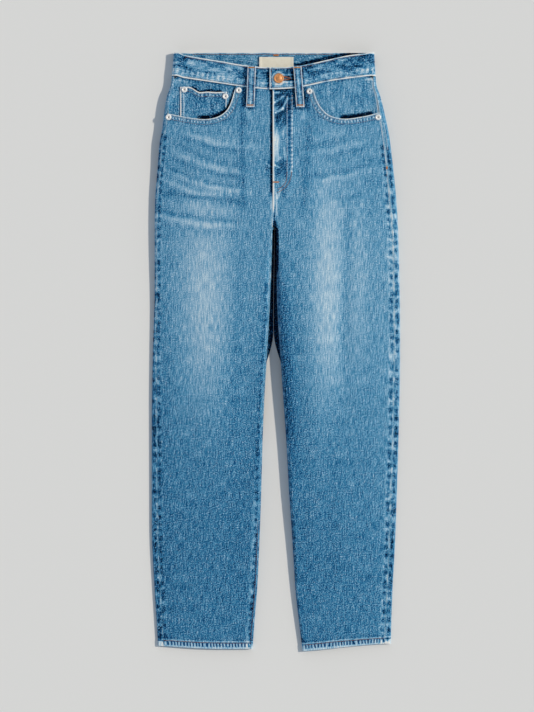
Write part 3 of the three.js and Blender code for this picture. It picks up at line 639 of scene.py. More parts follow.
def shell(grid, thickness, outward, present=None):
    """Points and faces of a closed wall. The grid is its outer face, and outward (1 or -1) turns
    the face's normals out. Cells that present marks false are left out."""
    rows, cols = grid.shape[:2]
    normals = grid_normals(grid) * outward
    points = np.concatenate([grid.reshape(-1, 3), (grid - normals * thickness).reshape(-1, 3)])
    i, j = np.meshgrid(np.arange(rows - 1), np.arange(cols - 1), indexing="ij")
    if present is not None:
        i, j = i[present], j[present]
    i, j = i.ravel(), j.ravel()
    corners = [i * cols + j, (i + 1) * cols + j, (i + 1) * cols + j + 1, i * cols + j + 1]
    if outward < 0:
        corners = corners[::-1]
    outer = np.stack(corners, axis=1)
    count = rows * cols
    inner = outer[:, ::-1] + count
    starts = outer.ravel()
    ends = np.roll(outer, -1, axis=1).ravel()
    once = ~np.isin(starts * 4 * count + ends, ends * 4 * count + starts)
    a, b = starts[once], ends[once]
    rim = np.stack([b, a, a + count, b + count], axis=1)
    faces = np.concatenate([outer, inner, rim])
    used, faces = np.unique(faces, return_inverse=True)
    return points[used], faces.reshape(-1, 4), used % count, used >= count


def run_along(points):
    """How far along its line each point lies. Lines run along the last axis but one."""
    steps = np.linalg.norm(np.diff(points, axis=-2), axis=-1)
    starts = np.zeros((*steps.shape[:-1], 1))
    return np.concatenate([starts, np.cumsum(steps, axis=-1)], axis=-1)


def cloth(node, grid, outward, wear_and_shade, yarns, wall=DENIM, present=None, inside=None,
          puckers=(0, 0)):
    """A denim piece from its outer face, with its wear and painted shade as one value at each point. yarns
    are each point's places across and along the warp. inside is how worn its inner face looks, with any
    painted shade, if not the same. puckers are the strength of the marks that its sewing makes, and their
    count along the seam."""
    points, faces, source, inner = shell(grid, wall, outward, present)

    def at_points(values):
        return np.broadcast_to(values, grid.shape[:2]).reshape(-1)[source]

    colour_level = at_points(wear_and_shade)
    if inside is not None:
        colour_level = np.where(inner, at_points(inside), colour_level)
    attributes = {"wear_and_shade": colour_level, "grain": grain_of(node, *yarns).reshape(-1, 3)[source]}
    for key, values in zip(("pucker", "phase"), puckers):
        attributes[key] = at_points(values) * ~inner
    piece = object_from(f"denim_{node}", points, faces, DENIM_LOOK, attributes)
    dress(piece, "denim", node)


# Where each piece is cut, so that pieces side by side don't share their yarns
CUT_PLACES = {
    "front_right": 0, "front_left": 0, "back_right": 2, "back_left": 4, "yoke_right": 5,
    "yoke_left": 7, "facing_right": 8, "facing_left": 10, "coin_pocket": 13, "waistband": 15,
    "loop_front_left": 17, "loop_front_right": 18, "loop_back_right": 20, "loop_back_middle": 20,
    "loop_back_left": 20, "back_pocket_right": 21, "back_pocket_left": 23,
}


def grain_of(node, across, along):
    """Where each point lies in the cloth, in metres, with the yarns of the warp along the second axis."""
    across, along = np.broadcast_arrays(across, along)
    cut = CUT_PLACES[node]
    return np.stack([across + 700 * cut, along, np.full(across.shape, 90.0 * cut)], axis=-1) * MM


def dress(piece, slot, *nodes):
    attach(piece, "root")
    if nodes:
        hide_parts(*nodes)


# Materials
def socket_colour(red, green, blue):
    return (red, green, blue, 1)


class Nodes:
    """A small helper that adds nodes to a material and links them."""

    def __init__(self, name):
        self.material = bpy.data.materials.new(name)
        self.material.use_nodes = True
        self.tree = self.material.node_tree
        self.shader = self.tree.nodes["Principled BSDF"]

    def add(self, kind, inputs=None, **settings):
        node = self.tree.nodes.new(kind)
        for key, value in settings.items():
            setattr(node, key, value)
        for key, value in (inputs or {}).items():
            if isinstance(value, bpy.types.NodeSocket):
                self.tree.links.new(value, node.inputs[key])
            else:
                node.inputs[key].default_value = value
        return node

    def attribute(self, name, output="Fac"):
        return self.add("ShaderNodeAttribute", attribute_name=name).outputs[output]

    def own_place(self):
        """Where a point lies on its own object."""
        return self.add("ShaderNodeTexCoord").outputs["Object"]

    def maths(self, operation, first, second=0.0):
        return self.add("ShaderNodeMath", {0: first, 1: second}, operation=operation).outputs[0]

    def about_zero(self, value, share):
        """A value from 0 to 1, moved so that its middle is 0, and multiplied by share."""
        return self.maths("MULTIPLY", self.maths("SUBTRACT", value, 0.5), share)

    def map_range(self, value, low, high, top=1.0, kind="LINEAR"):
        inputs = {"Value": value, "From Min": low, "From Max": high, "To Max": top}
        return self.add("ShaderNodeMapRange", inputs, interpolation_type=kind).outputs["Result"]

    def noise(self, vector, size, stretch=(1, 1, 1), detail=2.0, roughness=0.5):
        """Noise from 0 to 1 whose features are about size millimetres wide, times stretch."""
        scale = tuple(1 / (size * MM * s) for s in stretch)
        scaled = self.add("ShaderNodeVectorMath", {0: vector, 1: scale}, operation="MULTIPLY").outputs[0]
        inputs = {"Vector": scaled, "Scale": 1.0, "Detail": detail, "Roughness": roughness}
        return self.add("ShaderNodeTexNoise", inputs).outputs["Fac"]

    def ramp(self, value, stops):
        node = self.add("ShaderNodeValToRGB", {"Fac": value})
        elements = node.color_ramp.elements
        elements[0].position, elements[0].color = stops[0][0], socket_colour(*stops[0][1])
        elements[1].position, elements[1].color = stops[-1][0], socket_colour(*stops[-1][1])
        for position, colour in stops[1:-1]:
            elements.new(position).color = socket_colour(*colour)
        return node.outputs["Color"]

    def bump(self, height, distance, strength=1.0):
        inputs = {"Height": height, "Distance": distance * MM, "Strength": strength}
        self.link(self.add("ShaderNodeBump", inputs).outputs["Normal"], "Normal")

    def set(self, **values):
        for key, value in values.items():
            self.shader.inputs[key.replace("_", " ")].default_value = value

    def link(self, source, *names):
        for name in names:
            self.tree.links.new(source, self.shader.inputs[name])


# Reflected colour of the denim by wear and painted shade. Below 0 it is painted shade, as dark as a deep
# hollow.
DEEPEST = -0.25
INDIGO = [
    (DEEPEST, (0.001, 0.003, 0.010)), (-0.12, (0.002, 0.020, 0.075)), (0.0, (0.004, 0.044, 0.150)),
    (0.12, (0.004, 0.076, 0.235)), (0.25, (0.011, 0.174, 0.355)), (0.35, (0.043, 0.243, 0.445)),
    (0.5, (0.141, 0.368, 0.580)), (0.62, (0.280, 0.487, 0.675)), (0.8, (0.52, 0.70, 0.83)),
    (1.0, (0.87, 0.88, 0.87)),
]
TWILL_PITCH = 0.85
TWILL_LEAN = 0.45
# Unevenness of the yarn: its size across the warp, its stretch along it, and how far it moves the
# wear from its lowest to its highest
SLUB_SIZE, SLUB_STRETCH, SLUB_SHARE = 1.7, 11, 0.76
MOTTLE_SIZE, MOTTLE_STRETCH, MOTTLE_SHARE = 1.4, 1.5, 1.38
PATCH_SIZE, PATCH_STRETCH, PATCH_SHARE = 17, 1.4, 0.12
TWILL_SHARE = 0.05
# Indigo yarn is more uneven than worn yarn: its contrast at no wear, its loss with wear, its least
CONTRAST, CONTRAST_LOSS, LEAST_CONTRAST = 1.8, 2.1, 0.4


def sewing_marks(n, patch):
    """Soft marks along the seams, as strong as pucker says, one for each whole step of phase."""
    wandering = n.maths("ADD", n.attribute("phase"), n.about_zero(patch, 0.9))
    from_middle = n.maths("ABSOLUTE", n.maths("SUBTRACT", n.maths("FRACT", wandering), 0.5))
    mark = n.map_range(from_middle, 0.30, 0.16, kind="SMOOTHSTEP")
    return n.maths("MULTIPLY", mark, n.attribute("pucker"))


def denim_material():
    n = Nodes("washed_denim")
    grain, wear_and_shade = n.attribute("grain", "Vector"), n.attribute("wear_and_shade")
    slub = n.noise(grain, SLUB_SIZE, (1, SLUB_STRETCH, 1), 1, 0.5)
    axes = n.add("ShaderNodeSeparateXYZ", {0: grain}).outputs
    leaning = n.maths("ADD", axes["X"], n.maths("MULTIPLY", axes["Y"], TWILL_LEAN))
    slanted = n.add("ShaderNodeCombineXYZ", {0: leaning, 1: axes["Y"], 2: axes["Z"]}).outputs[0]
    mottle = n.noise(slanted, MOTTLE_SIZE, (1, MOTTLE_STRETCH, 1), 1, 0.5)
    patch = n.noise(grain, PATCH_SIZE, (1, PATCH_STRETCH, 1), 3, 0.55)
    twill = n.add("ShaderNodeTexWave", {
        "Vector": grain, "Scale": math.tau / (TWILL_PITCH * MM * 10 * math.sqrt(2)),
        "Distortion": 0.6, "Detail": 1.0,
    }, wave_type="BANDS", bands_direction="DIAGONAL").outputs["Fac"]
    fading = n.maths("SUBTRACT", CONTRAST, n.maths("MULTIPLY", wear_and_shade, CONTRAST_LOSS))
    contrast = n.maths("MULTIPLY", n.maths("MAXIMUM", fading, LEAST_CONTRAST), MOTTLE_SHARE)
    total = n.maths("ADD", wear_and_shade, sewing_marks(n, patch))
    uneven = [(slub, SLUB_SHARE), (mottle, contrast), (patch, PATCH_SHARE), (twill, TWILL_SHARE)]
    for value, share in uneven:
        total = n.maths("ADD", total, n.about_zero(value, share))
    scaled = n.maths("MULTIPLY", n.maths("SUBTRACT", total, DEEPEST), 1 / (1 - DEEPEST))
    stops = [((at - DEEPEST) / (1 - DEEPEST), colour) for at, colour in INDIGO]
    n.link(n.ramp(scaled, stops), "Base Color")
    height = n.maths("ADD", n.maths("MULTIPLY", twill, 0.4), n.maths("ADD", slub, mottle))
    n.bump(height, 0.35, 0.8)
    n.link(n.map_range(total, -0.15, 0.2, top=0.16), "Sheen Weight", "Specular IOR Level")
    n.set(Roughness=0.9, Sheen_Roughness=0.5)
    return n.material


def thread_material(name, light, dark):
    n = Nodes(name)
    strands = n.noise(n.own_place(), 1.4, (1, 1, 1), 2, 0.6)
    n.link(n.ramp(strands, [(0.3, dark), (0.7, light)]), "Base Color")
    n.bump(n.noise(n.own_place(), 0.35), 0.12, 0.6)
    n.set(Roughness=0.7, Specular_IOR_Level=0.3)
    return n.material


def metal_material(name, light, dark, roughness, metallic):
    n = Nodes(name)
    colour_level = n.noise(n.own_place(), 3.0, (1, 1, 1), 4, 0.6)
    n.link(n.ramp(colour_level, [(0.35, dark), (0.65, light)]), "Base Color")
    n.bump(n.noise(n.own_place(), 0.9, (1, 1, 1), 3, 0.6), 0.06, 0.5)
    n.set(Roughness=roughness, Metallic=metallic)
    return n.material


def label_material():
    n = Nodes("woven_label")
    threads = n.noise(n.own_place(), 0.5, (6, 1, 1), 2, 0.5)
    shade = n.noise(n.own_place(), 9, (1, 1, 1), 2, 0.5)
    value = n.maths("MULTIPLY", n.maths("ADD", threads, shade), 0.5)
    n.link(n.ramp(value, [(0.3, (0.80, 0.74, 0.60)), (0.7, (0.93, 0.89, 0.78))]), "Base Color")
    n.bump(threads, 0.15, 0.7)
    n.set(Roughness=0.85)
    return n.material


def floor_material():
    n = Nodes("pale_floor")
    n.set(Roughness=1.0, Specular_IOR_Level=0.0, Base_Color=socket_colour(0.80, 0.80, 0.80))
    return n.material


DENIM_LOOK = denim_material()
RUST = thread_material("rust_thread", (0.42, 0.19, 0.12), (0.20, 0.07, 0.05))
PALE = thread_material("pale_thread", (0.86, 0.86, 0.86), (0.52, 0.55, 0.62))
ORANGE = thread_material("orange_thread", (0.75, 0.33, 0.10), (0.42, 0.14, 0.05))
COPPER = metal_material("worn_copper", (0.86, 0.43, 0.19), (0.60, 0.25, 0.09), 0.55, 0.45)
NICKEL = metal_material("nickel", (0.96, 0.96, 0.95), (0.80, 0.80, 0.80), 0.45, 0.25)
DARK_METAL = metal_material("rivet_core", (0.30, 0.28, 0.27), (0.10, 0.09, 0.09), 0.5, 0.6)
LABEL_LOOK = label_material()


# Distances from a piece's edge at which its grid has lines, so that worn edges stay sharp
EDGE_LINES = [0, 0.6, 1.2, 1.9, 2.7, 3.7, 4.8, 6, 7.3, 8.6, 10, 11.5, 13.2, 15]
FLY_LINES = EDGE_LINES + [16.6 + 1.6 * i for i in range(14)]
STEP = 2.7
# The width that a front's columns are laid out on, before they are fitted to each level
FRONT_WIDTH = 200.0


def spaced(lines, other, width):
    """Positions across a width, with these lines from one end and others from the far end."""
    lines, other = np.asarray(lines, float), np.asarray(other, float)
    middle = width - lines[-1] - other[-1]
    count = max(int(round(middle / STEP)), 2)
    inside = lines[-1] + middle * np.arange(1, count) / count
    return np.concatenate([lines, inside, width - other[::-1]])


def front_x(side, down):
    """x of a front's grid points from their levels, whose last axis counts its columns. Columns lie
    at fixed distances near the edges, and the ones between share the rest of the width."""
    outer, inner = seam_x(side, down) - side.sign * FOLD_SEAM_GAP, front_inner(side, down)
    width = np.abs(outer - inner)
    inner_lines = FLY_LINES if side is LEFT else EDGE_LINES
    pattern = spaced(EDGE_LINES, inner_lines, FRONT_WIDTH)
    low, high = EDGE_LINES[-1], inner_lines[-1]
    stretched = low + (pattern - low) / (FRONT_WIDTH - low - high) * (width - low - high)
    from_inner = width - (FRONT_WIDTH - pattern)
    away = np.where(pattern >= FRONT_WIDTH - high, from_inner, stretched)
    return outer - side.sign * np.where(pattern <= low, pattern, away)


def front_grid(side):
    start = float(band_bottom(FLY_X)) + SEAM_GAP
    rows = spaced(EDGE_LINES, EDGE_LINES, side.hem_inner - start)[:, None] + start
    top = front_x(side, np.array([start]))
    for _ in range(8):
        outward = side.sign * (top - side.pocket_end) > 0
        down = np.where(outward, side.pocket(top), band_bottom(top)) + SEAM_GAP
        top = front_x(side, down)
        slope = np.where(outward, np.abs(mouth_slope(side, top)), 0.1)
    stretch = np.sqrt(1 + np.convolve(np.pad(slope, 2, "edge"), np.ones(5) / 5, "valid") ** 2)
    depth = rows - start
    near = np.minimum(depth, EDGE_LINES[-1]) * (stretch - 1) * smooth(150, 15, depth)
    fade = np.clip((BAND_SLOPE_END - rows) / (BAND_SLOPE_END - start), 0, 1)
    shares = np.clip(np.abs(top - top[0]) / np.abs(top[-1] - top[0]), 0, 1)
    hem = (hem_at(side, shares) - side.hem_inner) * smooth(HEM_SLOPE_START, side.hem_inner, rows)
    down = rows + (down - start + near) * fade + hem
    return front_x(side, down), down


def make_front(side):
    x, down = front_grid(side)
    grid = place(x, down, front_face(side, x, down))
    cloth(f"front_{side.name}", grid, -side.sign, front_wear_and_shade(side, x, down), (x, -down),
          inside=0.6, puckers=front_puckers(side, x, down))


# The back wraps round both folds. Its columns run from the outseam to the inseam.
SEAT_STEPS, ROLL_STEPS, INSEAM_STEPS = 34, 9, 6
BACK_COLUMNS = (
    [("upper", share) for share in np.linspace(1, 0, ROLL_STEPS)]
    + [("lower", share**1.5) for share in np.linspace(0, 1, ROLL_STEPS)]
    + [("bottom", share) for share in np.linspace(0, 1, SEAT_STEPS)[1:]]
    + [("inner_lower", share**1.5) for share in np.linspace(1, 0, INSEAM_STEPS)[1:]]
    + [("inner_upper", share) for share in np.linspace(0, 1, INSEAM_STEPS)]
)
SEAT_COUNT = 2 * ROLL_STEPS + SEAT_STEPS - 1
BACK_STEP = 3.4
# Rows close together round the crotch, from which the leg's inner edge starts
CROTCH_LINES = [-2, -0.2, 0, 0.6, 1.4, 2.4, 3.8, 5.4, 7.2, 9, 11.4]
BACK_DROP = 2.6
FOLD_DROP = 1.5
YOKE_OUTER = 88.0
YOKE_MIDDLE = 112.0


def thigh_reach(side, down):
    """How far the thigh's underside bulges past its edge, to the middle of the gap at its top. The bulge is
    coloured dark as painted shade, standing in for the deep shadow between the thighs.
    """
    half = np.abs(LEFT.inner(down) - RIGHT.inner(down)) / 2 + inner_corner(down) - 0.4
    return -side.sign * half * span(down, CROTCH, CROTCH + 6, 500, 600)


def ring_column(side, part, share, down, relief=0):
    """One column of the layer that wraps round a leg: x and height at these levels."""
    outer, inner, turn = side.outer(down), inner_edge(side, down), outer_corner(down)
    leg = down > CROTCH - 0.1
    inner_turn = np.where(leg, inner_corner(down), 0)
    if part == "upper":
        x = outer - side.sign * share * side.seam(down)
        return x, upper(side, x, down) + relief
    if part == "lower":
        x = outer - side.sign * share * turn
        return x, lower(side, x, down)
    if part == "bottom":
        flat_end = np.where(leg, inner + side.sign * inner_turn, seat_x(side))
        x = mix(outer - side.sign * turn, flat_end, share)
        z = np.where(leg, lower(side, x, down), lift(down))
        return x + thigh_reach(side, down) * smooth(0.88, 1, share), z
    if part == "inner_lower":
        x = inner + side.sign * share * inner_turn
        return x + thigh_reach(side, down) * share, lower(side, x, down)
    x = inner + side.sign * share * INSEAM_INSET
    return x, upper(side, x, down) + relief


def yoke_share(j):
    return np.clip((j - 2 * ROLL_STEPS + 1) / (SEAT_STEPS - 1), 0, 1)


def yoke_edge(j):
    return mix(YOKE_OUTER, YOKE_MIDDLE, yoke_share(j))


def back_wear_and_shade(side, x, down, part):
    """How worn the back is on each stretch of its way round the leg, from the outseam, with painted shade
    where the thighs' undersides meet in the gap.
    """
    edge_away = side.sign * (x - inner_edge(side, down))
    wear_and_shade = base_wear(down) + hem_wear(hem_distance(side, x, down), x)
    if part in ("upper", "lower"):
        wear_and_shade = wear_and_shade - 0.03 + outseam_wear(side, x, down)
    else:
        wear_and_shade = wear_and_shade + 0.12 * soft_patch(x, down, (side.sign * 110, 250), (60, 130), (2, 2))
    # Painted shade: the thigh's underside is darkened where it fills the gap between the legs.
    if part == "inner_lower":
        wear_and_shade = wear_and_shade - 0.75 * in_shaded_gap(down)
    if part == "bottom":
        wear_and_shade = wear_and_shade - 0.75 * in_shaded_gap(down) * smooth(-6, -1, -edge_away) * (down > CROTCH)
    if part == "inner_upper":
        wear_and_shade = wear_and_shade - 0.06 + 0.2 * bell(edge_away, 2.5, 0.9) + 0.1 * soft_noise(down, 0, 9, 47)
        if side is LEFT:
            # Painted shade: a dark strip along the left leg's inner edge below the crotch.
            wear_and_shade = wear_and_shade - 0.8 * span(down, 300, 314, 380, 415)
        wear_and_shade = wear_and_shade - 0.30 * blotch_wear(INSEAM_MARKS[side.name], down, inseam_offset(side, x, down))
    return wear_and_shade


def in_shaded_gap(down):
    """1 at the levels where the thighs' undersides meet in the gap, which is painted dark as shade."""
    return span(down, CROTCH - 20, CROTCH, 640, 720)


def make_back(side):
    start = YOKE_MIDDLE + SEAM_GAP
    hem = side.hem_inner - np.array(EDGE_LINES[:0:-1] + [0])
    rows = np.concatenate([
        np.arange(start, CROTCH - 5, BACK_STEP), CROTCH + np.array(CROTCH_LINES),
        np.arange(CROTCH + 15, hem[0] - 3, BACK_STEP), hem,
    ])
    x, down, z, wear_and_shade = (np.empty((len(rows), len(BACK_COLUMNS))) for _ in range(4))
    fade = np.clip((BAND_SLOPE_END - rows) / (BAND_SLOPE_END - YOKE_MIDDLE), 0, 1)
    for j, (part, share) in enumerate(BACK_COLUMNS):
        hem_line = hem_at(side, yoke_share(j))
        hem_part = (hem_line - side.hem_inner) * smooth(HEM_SLOPE_START, side.hem_inner, rows)
        down[:, j] = rows + (yoke_edge(j) - YOKE_MIDDLE) * fade + hem_part
        x[:, j], z[:, j] = ring_column(side, part, share, down[:, j], hem_relief(hem_line - down[:, j]))
        wear_and_shade[:, j] = back_wear_and_shade(side, x[:, j], down[:, j], part)
    grid = place(x, down, z)
    on_leg = rows[:-1, None] > CROTCH - 0.1
    present = (np.arange(len(BACK_COLUMNS) - 1)[None] < SEAT_COUNT - 1) | on_leg
    # Painted shade: the inner face beside the slot is darkened in the gap between the thighs.
    near_slot = smooth(-14, -7, -side.sign * (x - inner_edge(side, down)))
    cloth(f"back_{side.name}", grid, side.sign, wear_and_shade, (run_along(grid), -down), present=present,
          inside=0.6 - near_slot * in_shaded_gap(down))


def make_yoke(side):
    start = BAND_HEIGHT + BACK_DROP + SEAM_GAP
    shares = np.linspace(0, 1, 16)
    x, down, z, wear_and_shade = (np.empty((len(shares), SEAT_COUNT)) for _ in range(4))
    for j, (part, share) in enumerate(BACK_COLUMNS[:SEAT_COUNT]):
        down[:, j] = mix(start, yoke_edge(j), shares)
        x[:, j], z[:, j] = ring_column(side, part, share, down[:, j])
        seam = 0.2 * bell(yoke_edge(j) - down[:, j], 0, 1.5)
        wear_and_shade[:, j] = back_wear_and_shade(side, x[:, j], down[:, j], part) + seam
    cloth(f"yoke_{side.name}", place(x, down, z), side.sign, wear_and_shade, (down, x),
          inside=0.6)


# The layer seen inside each pocket's mouth, sunk away from it
FACING_REACH = 18.0
FACING_DEPTH = 3.2
FACING_TUCK = 6.0
# Where the mouths gape, along x, and how much further the layer behind them sinks there; the layer is also
# painted dark there as shade.
GAPES = {"right": (-138, -76), "left": (118, 172)}
GAPE_SINK = 3.0


def facing_sink(side, x, down):
    from_seam = np.abs(x - seam_x(side, down))
    near_seam = smooth(9, 0, from_seam) * smooth(135, 120, down)
    near_band = smooth(14, 0, down - band_bottom(x))
    return mix(mix(FACING_DEPTH, BAND_WALL - 0.5, near_band), DENIM + SEAM_GAP, near_seam)


def gape(side, x, down):
    """How open the mouth is above a point of the layer behind it, from 0 to 1."""
    start, end = GAPES[side.name]
    along = span(x, start - 14, start + 8, end - 8, end + 14)
    return along * smooth(11, 1, side.pocket(x) - down)


def facing_face(side, x, down):
    z = upper(side, x, down) - facing_sink(side, x, down) - GAPE_SINK * gape(side, x, down)
    return z + 0.22 * soft_noise(x, down, 15, 51) * smooth(0, 10, down - band_bottom(x))


def facing_wear_and_shade(side, x, down):
    wear_and_shade = (0.375 if side is RIGHT else 0.42) + 0.06 * soft_noise(x, down, 13, 53)
    below_band = down - band_bottom(x)
    wear_and_shade = wear_and_shade + 0.30 * bell(below_band, 5.5, 1.4) * smooth(30, 8, np.abs(x - seam_x(side, down)))
    # Painted shadow just under the band's edge.
    wear_and_shade = wear_and_shade - 0.16 * bell(below_band, 1.5, 1.8)
    from_seam = np.abs(x - seam_x(side, down))
    crumple = soft_noise(x + down, down, 4, 55) * bell(from_seam, 8, 10) * bell(below_band, 7, 9)
    wear_and_shade = wear_and_shade + 0.35 * crumple + (0.5 if side is LEFT else 0.2) * bell(from_seam, 1.6, 1.8)
    if side is RIGHT:
        share = coin_share(x)
        above = coin_top(share) - down
        open_mouth = span(share, 0.2, 0.3, 0.82, 0.93)
        # Painted shade in the coin pocket's open mouth, and softer shade above it.
        wear_and_shade = wear_and_shade - 0.95 * open_mouth * span(above, -4, -1, 1.6, 4.2)
        wear_and_shade = wear_and_shade - 0.16 * open_mouth * bell(above, 7, 4)
    # Painted shade where the pocket's mouth gapes.
    return wear_and_shade - 1.25 * smooth(0.3, 0.8, gape(side, x, down))


def make_facing(side):
    start = side.outer(80) - side.sign * 3
    end = side.pocket_end - side.sign * 8
    wanted, v = np.meshgrid(np.linspace(start, end, 62), np.linspace(0, 1, 34))
    beyond = side.sign * (wanted - side.pocket_end) > 0
    mouth = np.where(beyond, wanted, side.pocket_end)
    down = mix(band_bottom(wanted) - FACING_TUCK, side.pocket(mouth) + FACING_REACH, v)
    room = 0.6 + FACING_TUCK * smooth(47, 43, down)
    limit = seam_x(side, down) - side.sign * room
    x = np.where(side.sign * (wanted - limit) > 0, limit, wanted)
    cloth(f"facing_{side.name}", place(x, down, facing_face(side, x, down)), -side.sign,
          facing_wear_and_shade(side, x, down), (x, -down))


COIN_LEFT, COIN_RIGHT = -172.0, -87.5
COIN_LEFT_DOWN, COIN_RIGHT_DOWN = 61.5, 70.8
COIN_STEP_START, COIN_STEP_END = 0.16, 0.44
COIN_REACH = 10.0


def coin_top(share):
    """The coin pocket's top edge, which steps down between its rivets and wavers a little."""
    level = mix(COIN_LEFT_DOWN, COIN_RIGHT_DOWN, smooth(COIN_STEP_START, COIN_STEP_END, share))
    return level + 0.6 * np.sin(share * 17 - 5.4) * np.sin(math.pi * share)


def coin_share(x):
    return np.clip((x - COIN_LEFT) / (COIN_RIGHT - COIN_LEFT), 0, 1)


def coin_place(share, v):
    x = mix(COIN_LEFT, COIN_RIGHT - 3 * v, share)
    top = coin_top(share)
    down = mix(top, np.maximum(top + 24, RIGHT.pocket(x) + COIN_REACH), v)
    return x, down


def coin_face(x, down):
    share = coin_share(x)
    below = down - coin_top(share)
    z = facing_face(RIGHT, x, down) + SEAM_GAP + DENIM
    return z + 0.5 * smooth(9.5, 7.5, below) + 0.7 * bell(below, 0, 4) * np.sin(math.pi * share)


def make_coin_pocket():
    shares = spaced(EDGE_LINES, EDGE_LINES, COIN_RIGHT - COIN_LEFT) / (COIN_RIGHT - COIN_LEFT)
    levels = spaced(EDGE_LINES, [0, 3], 48) / 48
    share, v = np.meshgrid(shares, levels)
    x, down = coin_place(share, v)
    below = down - coin_top(share)
    from_left, from_right = x - COIN_LEFT, COIN_RIGHT - 3 * v - x
    z = coin_face(x, down) + 0.3 * smooth(7, 5.5, from_left)
    wear_and_shade = 0.33 + 0.05 * soft_noise(x, down, 11, 57) + 0.06 * soft_noise(x, down / 4, 5, 58)
    wear_and_shade = wear_and_shade + line_wear(below, COIN_TOP_LINES) + line_wear(from_left, COIN_SIDE_LINES)
    wear_and_shade = wear_and_shade + (0.45 + 0.4 * smooth(82, 86, down)) * bell(from_right, 0.3, 1.4)
    # Painted shade where the pocket's mouth gapes over the coin pocket.
    wear_and_shade = wear_and_shade - 1.25 * smooth(0.3, 0.8, gape(RIGHT, x, down))
    wear_and_shade = wear_and_shade - 0.14 * smooth(10, 3, from_right) + 0.1 * bell(from_left, 15, 4) * smooth(10, 20, below)
    cloth("coin_pocket", place(x, down, z), 1, wear_and_shade, (x, -down),
          puckers=(0.42 * bell(below, 5.4, 1.7), x / 6.8))


# Waistband: one strip from the buttonhole end, round the left fold, the back and the right fold
BAND_RELIEF = 0.8
OVERLAP_X = -11.2
UNDERLAP_X = 27.0
OVERLAP_LIFT = BAND_WALL + 0.4
OVERLAP_FADE = (36.0, 66.0)
BAND_TURN = 9.0
BUTTON_X, BUTTON_DOWN, BUTTON_RADIUS = 5.2, 46.6, 9.0
BUTTON_STEM, BUTTON_DOME = 2.0, 3.4
HOLE_RADIUS, HOLE_SLOT, HOLE_LENGTH = 2.8, 1.3, 20.0
HOLE_START, HOLE_EYE, HOLE_END = BUTTON_X - HOLE_RADIUS, BUTTON_X + HOLE_RADIUS, BUTTON_X + HOLE_LENGTH
# The height of the band's outer face, its rows as shares of it, and its first columns
BAND_FACE = 39.0
ROWS_ABOVE_HOLE = [0, 0.015, 0.03, 0.05, 0.075, 0.1, 0.13, 0.17, 0.22, 0.27, 0.32, 0.37, 0.41]
ROWS_BELOW_HOLE = [0.62, 0.66, 0.7, 0.74, 0.79, 0.84, 0.875, 0.905, 0.93, 0.95, 0.97, 0.985, 1]
END_LINES = [0, 0.6, 1.2, 1.9, 2.7, 3.7, 4.8, 6, 7.4, 8.8, 10.2, 11.8]
# Heights and distances along the strip that tell its stretches apart
FRONT_HEIGHT, OVERLAP_RUN, UNDERLAP_RUN = 10, 60, 400


def overlap_lift(x):
    over = OVERLAP_LIFT * smooth(OVERLAP_FADE[1], OVERLAP_FADE[0], x)
    return np.where(x > OVERLAP_X - 0.1, over, 0)


def band_down(x, v):
    return mix(band_top(x), band_bottom(x), v)


def band_share(x, down):
    return (down - band_top(x)) / (band_bottom(x) - band_top(x))


def band_crease(x):
    return 0.56 + 0.05 * soft_noise(x, 0, 30, 62)


def band_height(x, down, raised):
    return upper_any(x, down) - fly_rise(x, down) + BAND_RELIEF + raised


def band_relief(x, v):
    """Puckers along both edges, a long soft crease between them, and thicker turned edges."""
    puckers = np.sin(x / 9.6 * math.tau + 1.3 * soft_noise(x, 0, 21, 61))
    z = 0.28 * puckers * bell(v, 0.8, 0.16) + 0.16 * puckers * bell(v, 0.1, 0.12)
    z = z - 0.35 * bell(v, band_crease(x), 0.07)
    z = z + 0.35 * (smooth(0.13, 0.09, v) + smooth(0.87, 0.91, v))
    return z + 0.25 * soft_noise(x, v * BAND_FACE, 12, 63)


def band_wear_and_shade(x, v):
    y = v * BAND_FACE
    wear_and_shade = 0.41 + 0.16 * soft_noise(x, y, 13, 64) + 0.09 * soft_noise(x, y, 5, 65)
    wear_and_shade = wear_and_shade + 0.26 * smooth(0.6, 0.45, v) * soft_noise(x / 2.6 - 6 * v, y, 5.5, 69)
    wear_and_shade = wear_and_shade - 0.26 * smooth(0.55, 0.2, v) * smooth(-0.2, 0.6, soft_noise(x, v * 30, 17, 66))
    # The dark along the crease is painted shade.
    crease = bell(v, band_crease(x), 0.05) * smooth(-0.7, 0.4, soft_noise(x, 0, 20, 67))
    return wear_and_shade - 0.34 * crease + line_wear(v, BAND_LINES)


def band_column(kind, value, v):
    """x, down and height of one column of the band's outer face. value is its x, or at a fold its
    side and its share of the turn."""
    if kind in ("over", "under"):
        x = np.full_like(v, value)
        raised = overlap_lift(x) if kind == "over" else 0
        return x, band_down(x, v), band_height(x, band_down(x, v), raised) + band_relief(x, v)
    if kind == "back":
        return np.full_like(v, value), (BAND_HEIGHT + BACK_DROP) * v, np.full_like(v, SEAT_LIFT)
    side, share = value
    if kind == "fold_lower":
        down = (BAND_HEIGHT + BACK_DROP) * v
        x = side.outer(down) - side.sign * share * outer_corner(down)
        return x, down, lower(side, x, down)
    down, away = (BAND_HEIGHT + FOLD_DROP) * v, share * BAND_TURN
    x = side.outer(down) - side.sign * away
    relief = BAND_RELIEF * smooth(0, 5, away) + band_relief(x, v) * smooth(0, 8, away)
    return x, down, upper(side, x, down) + relief


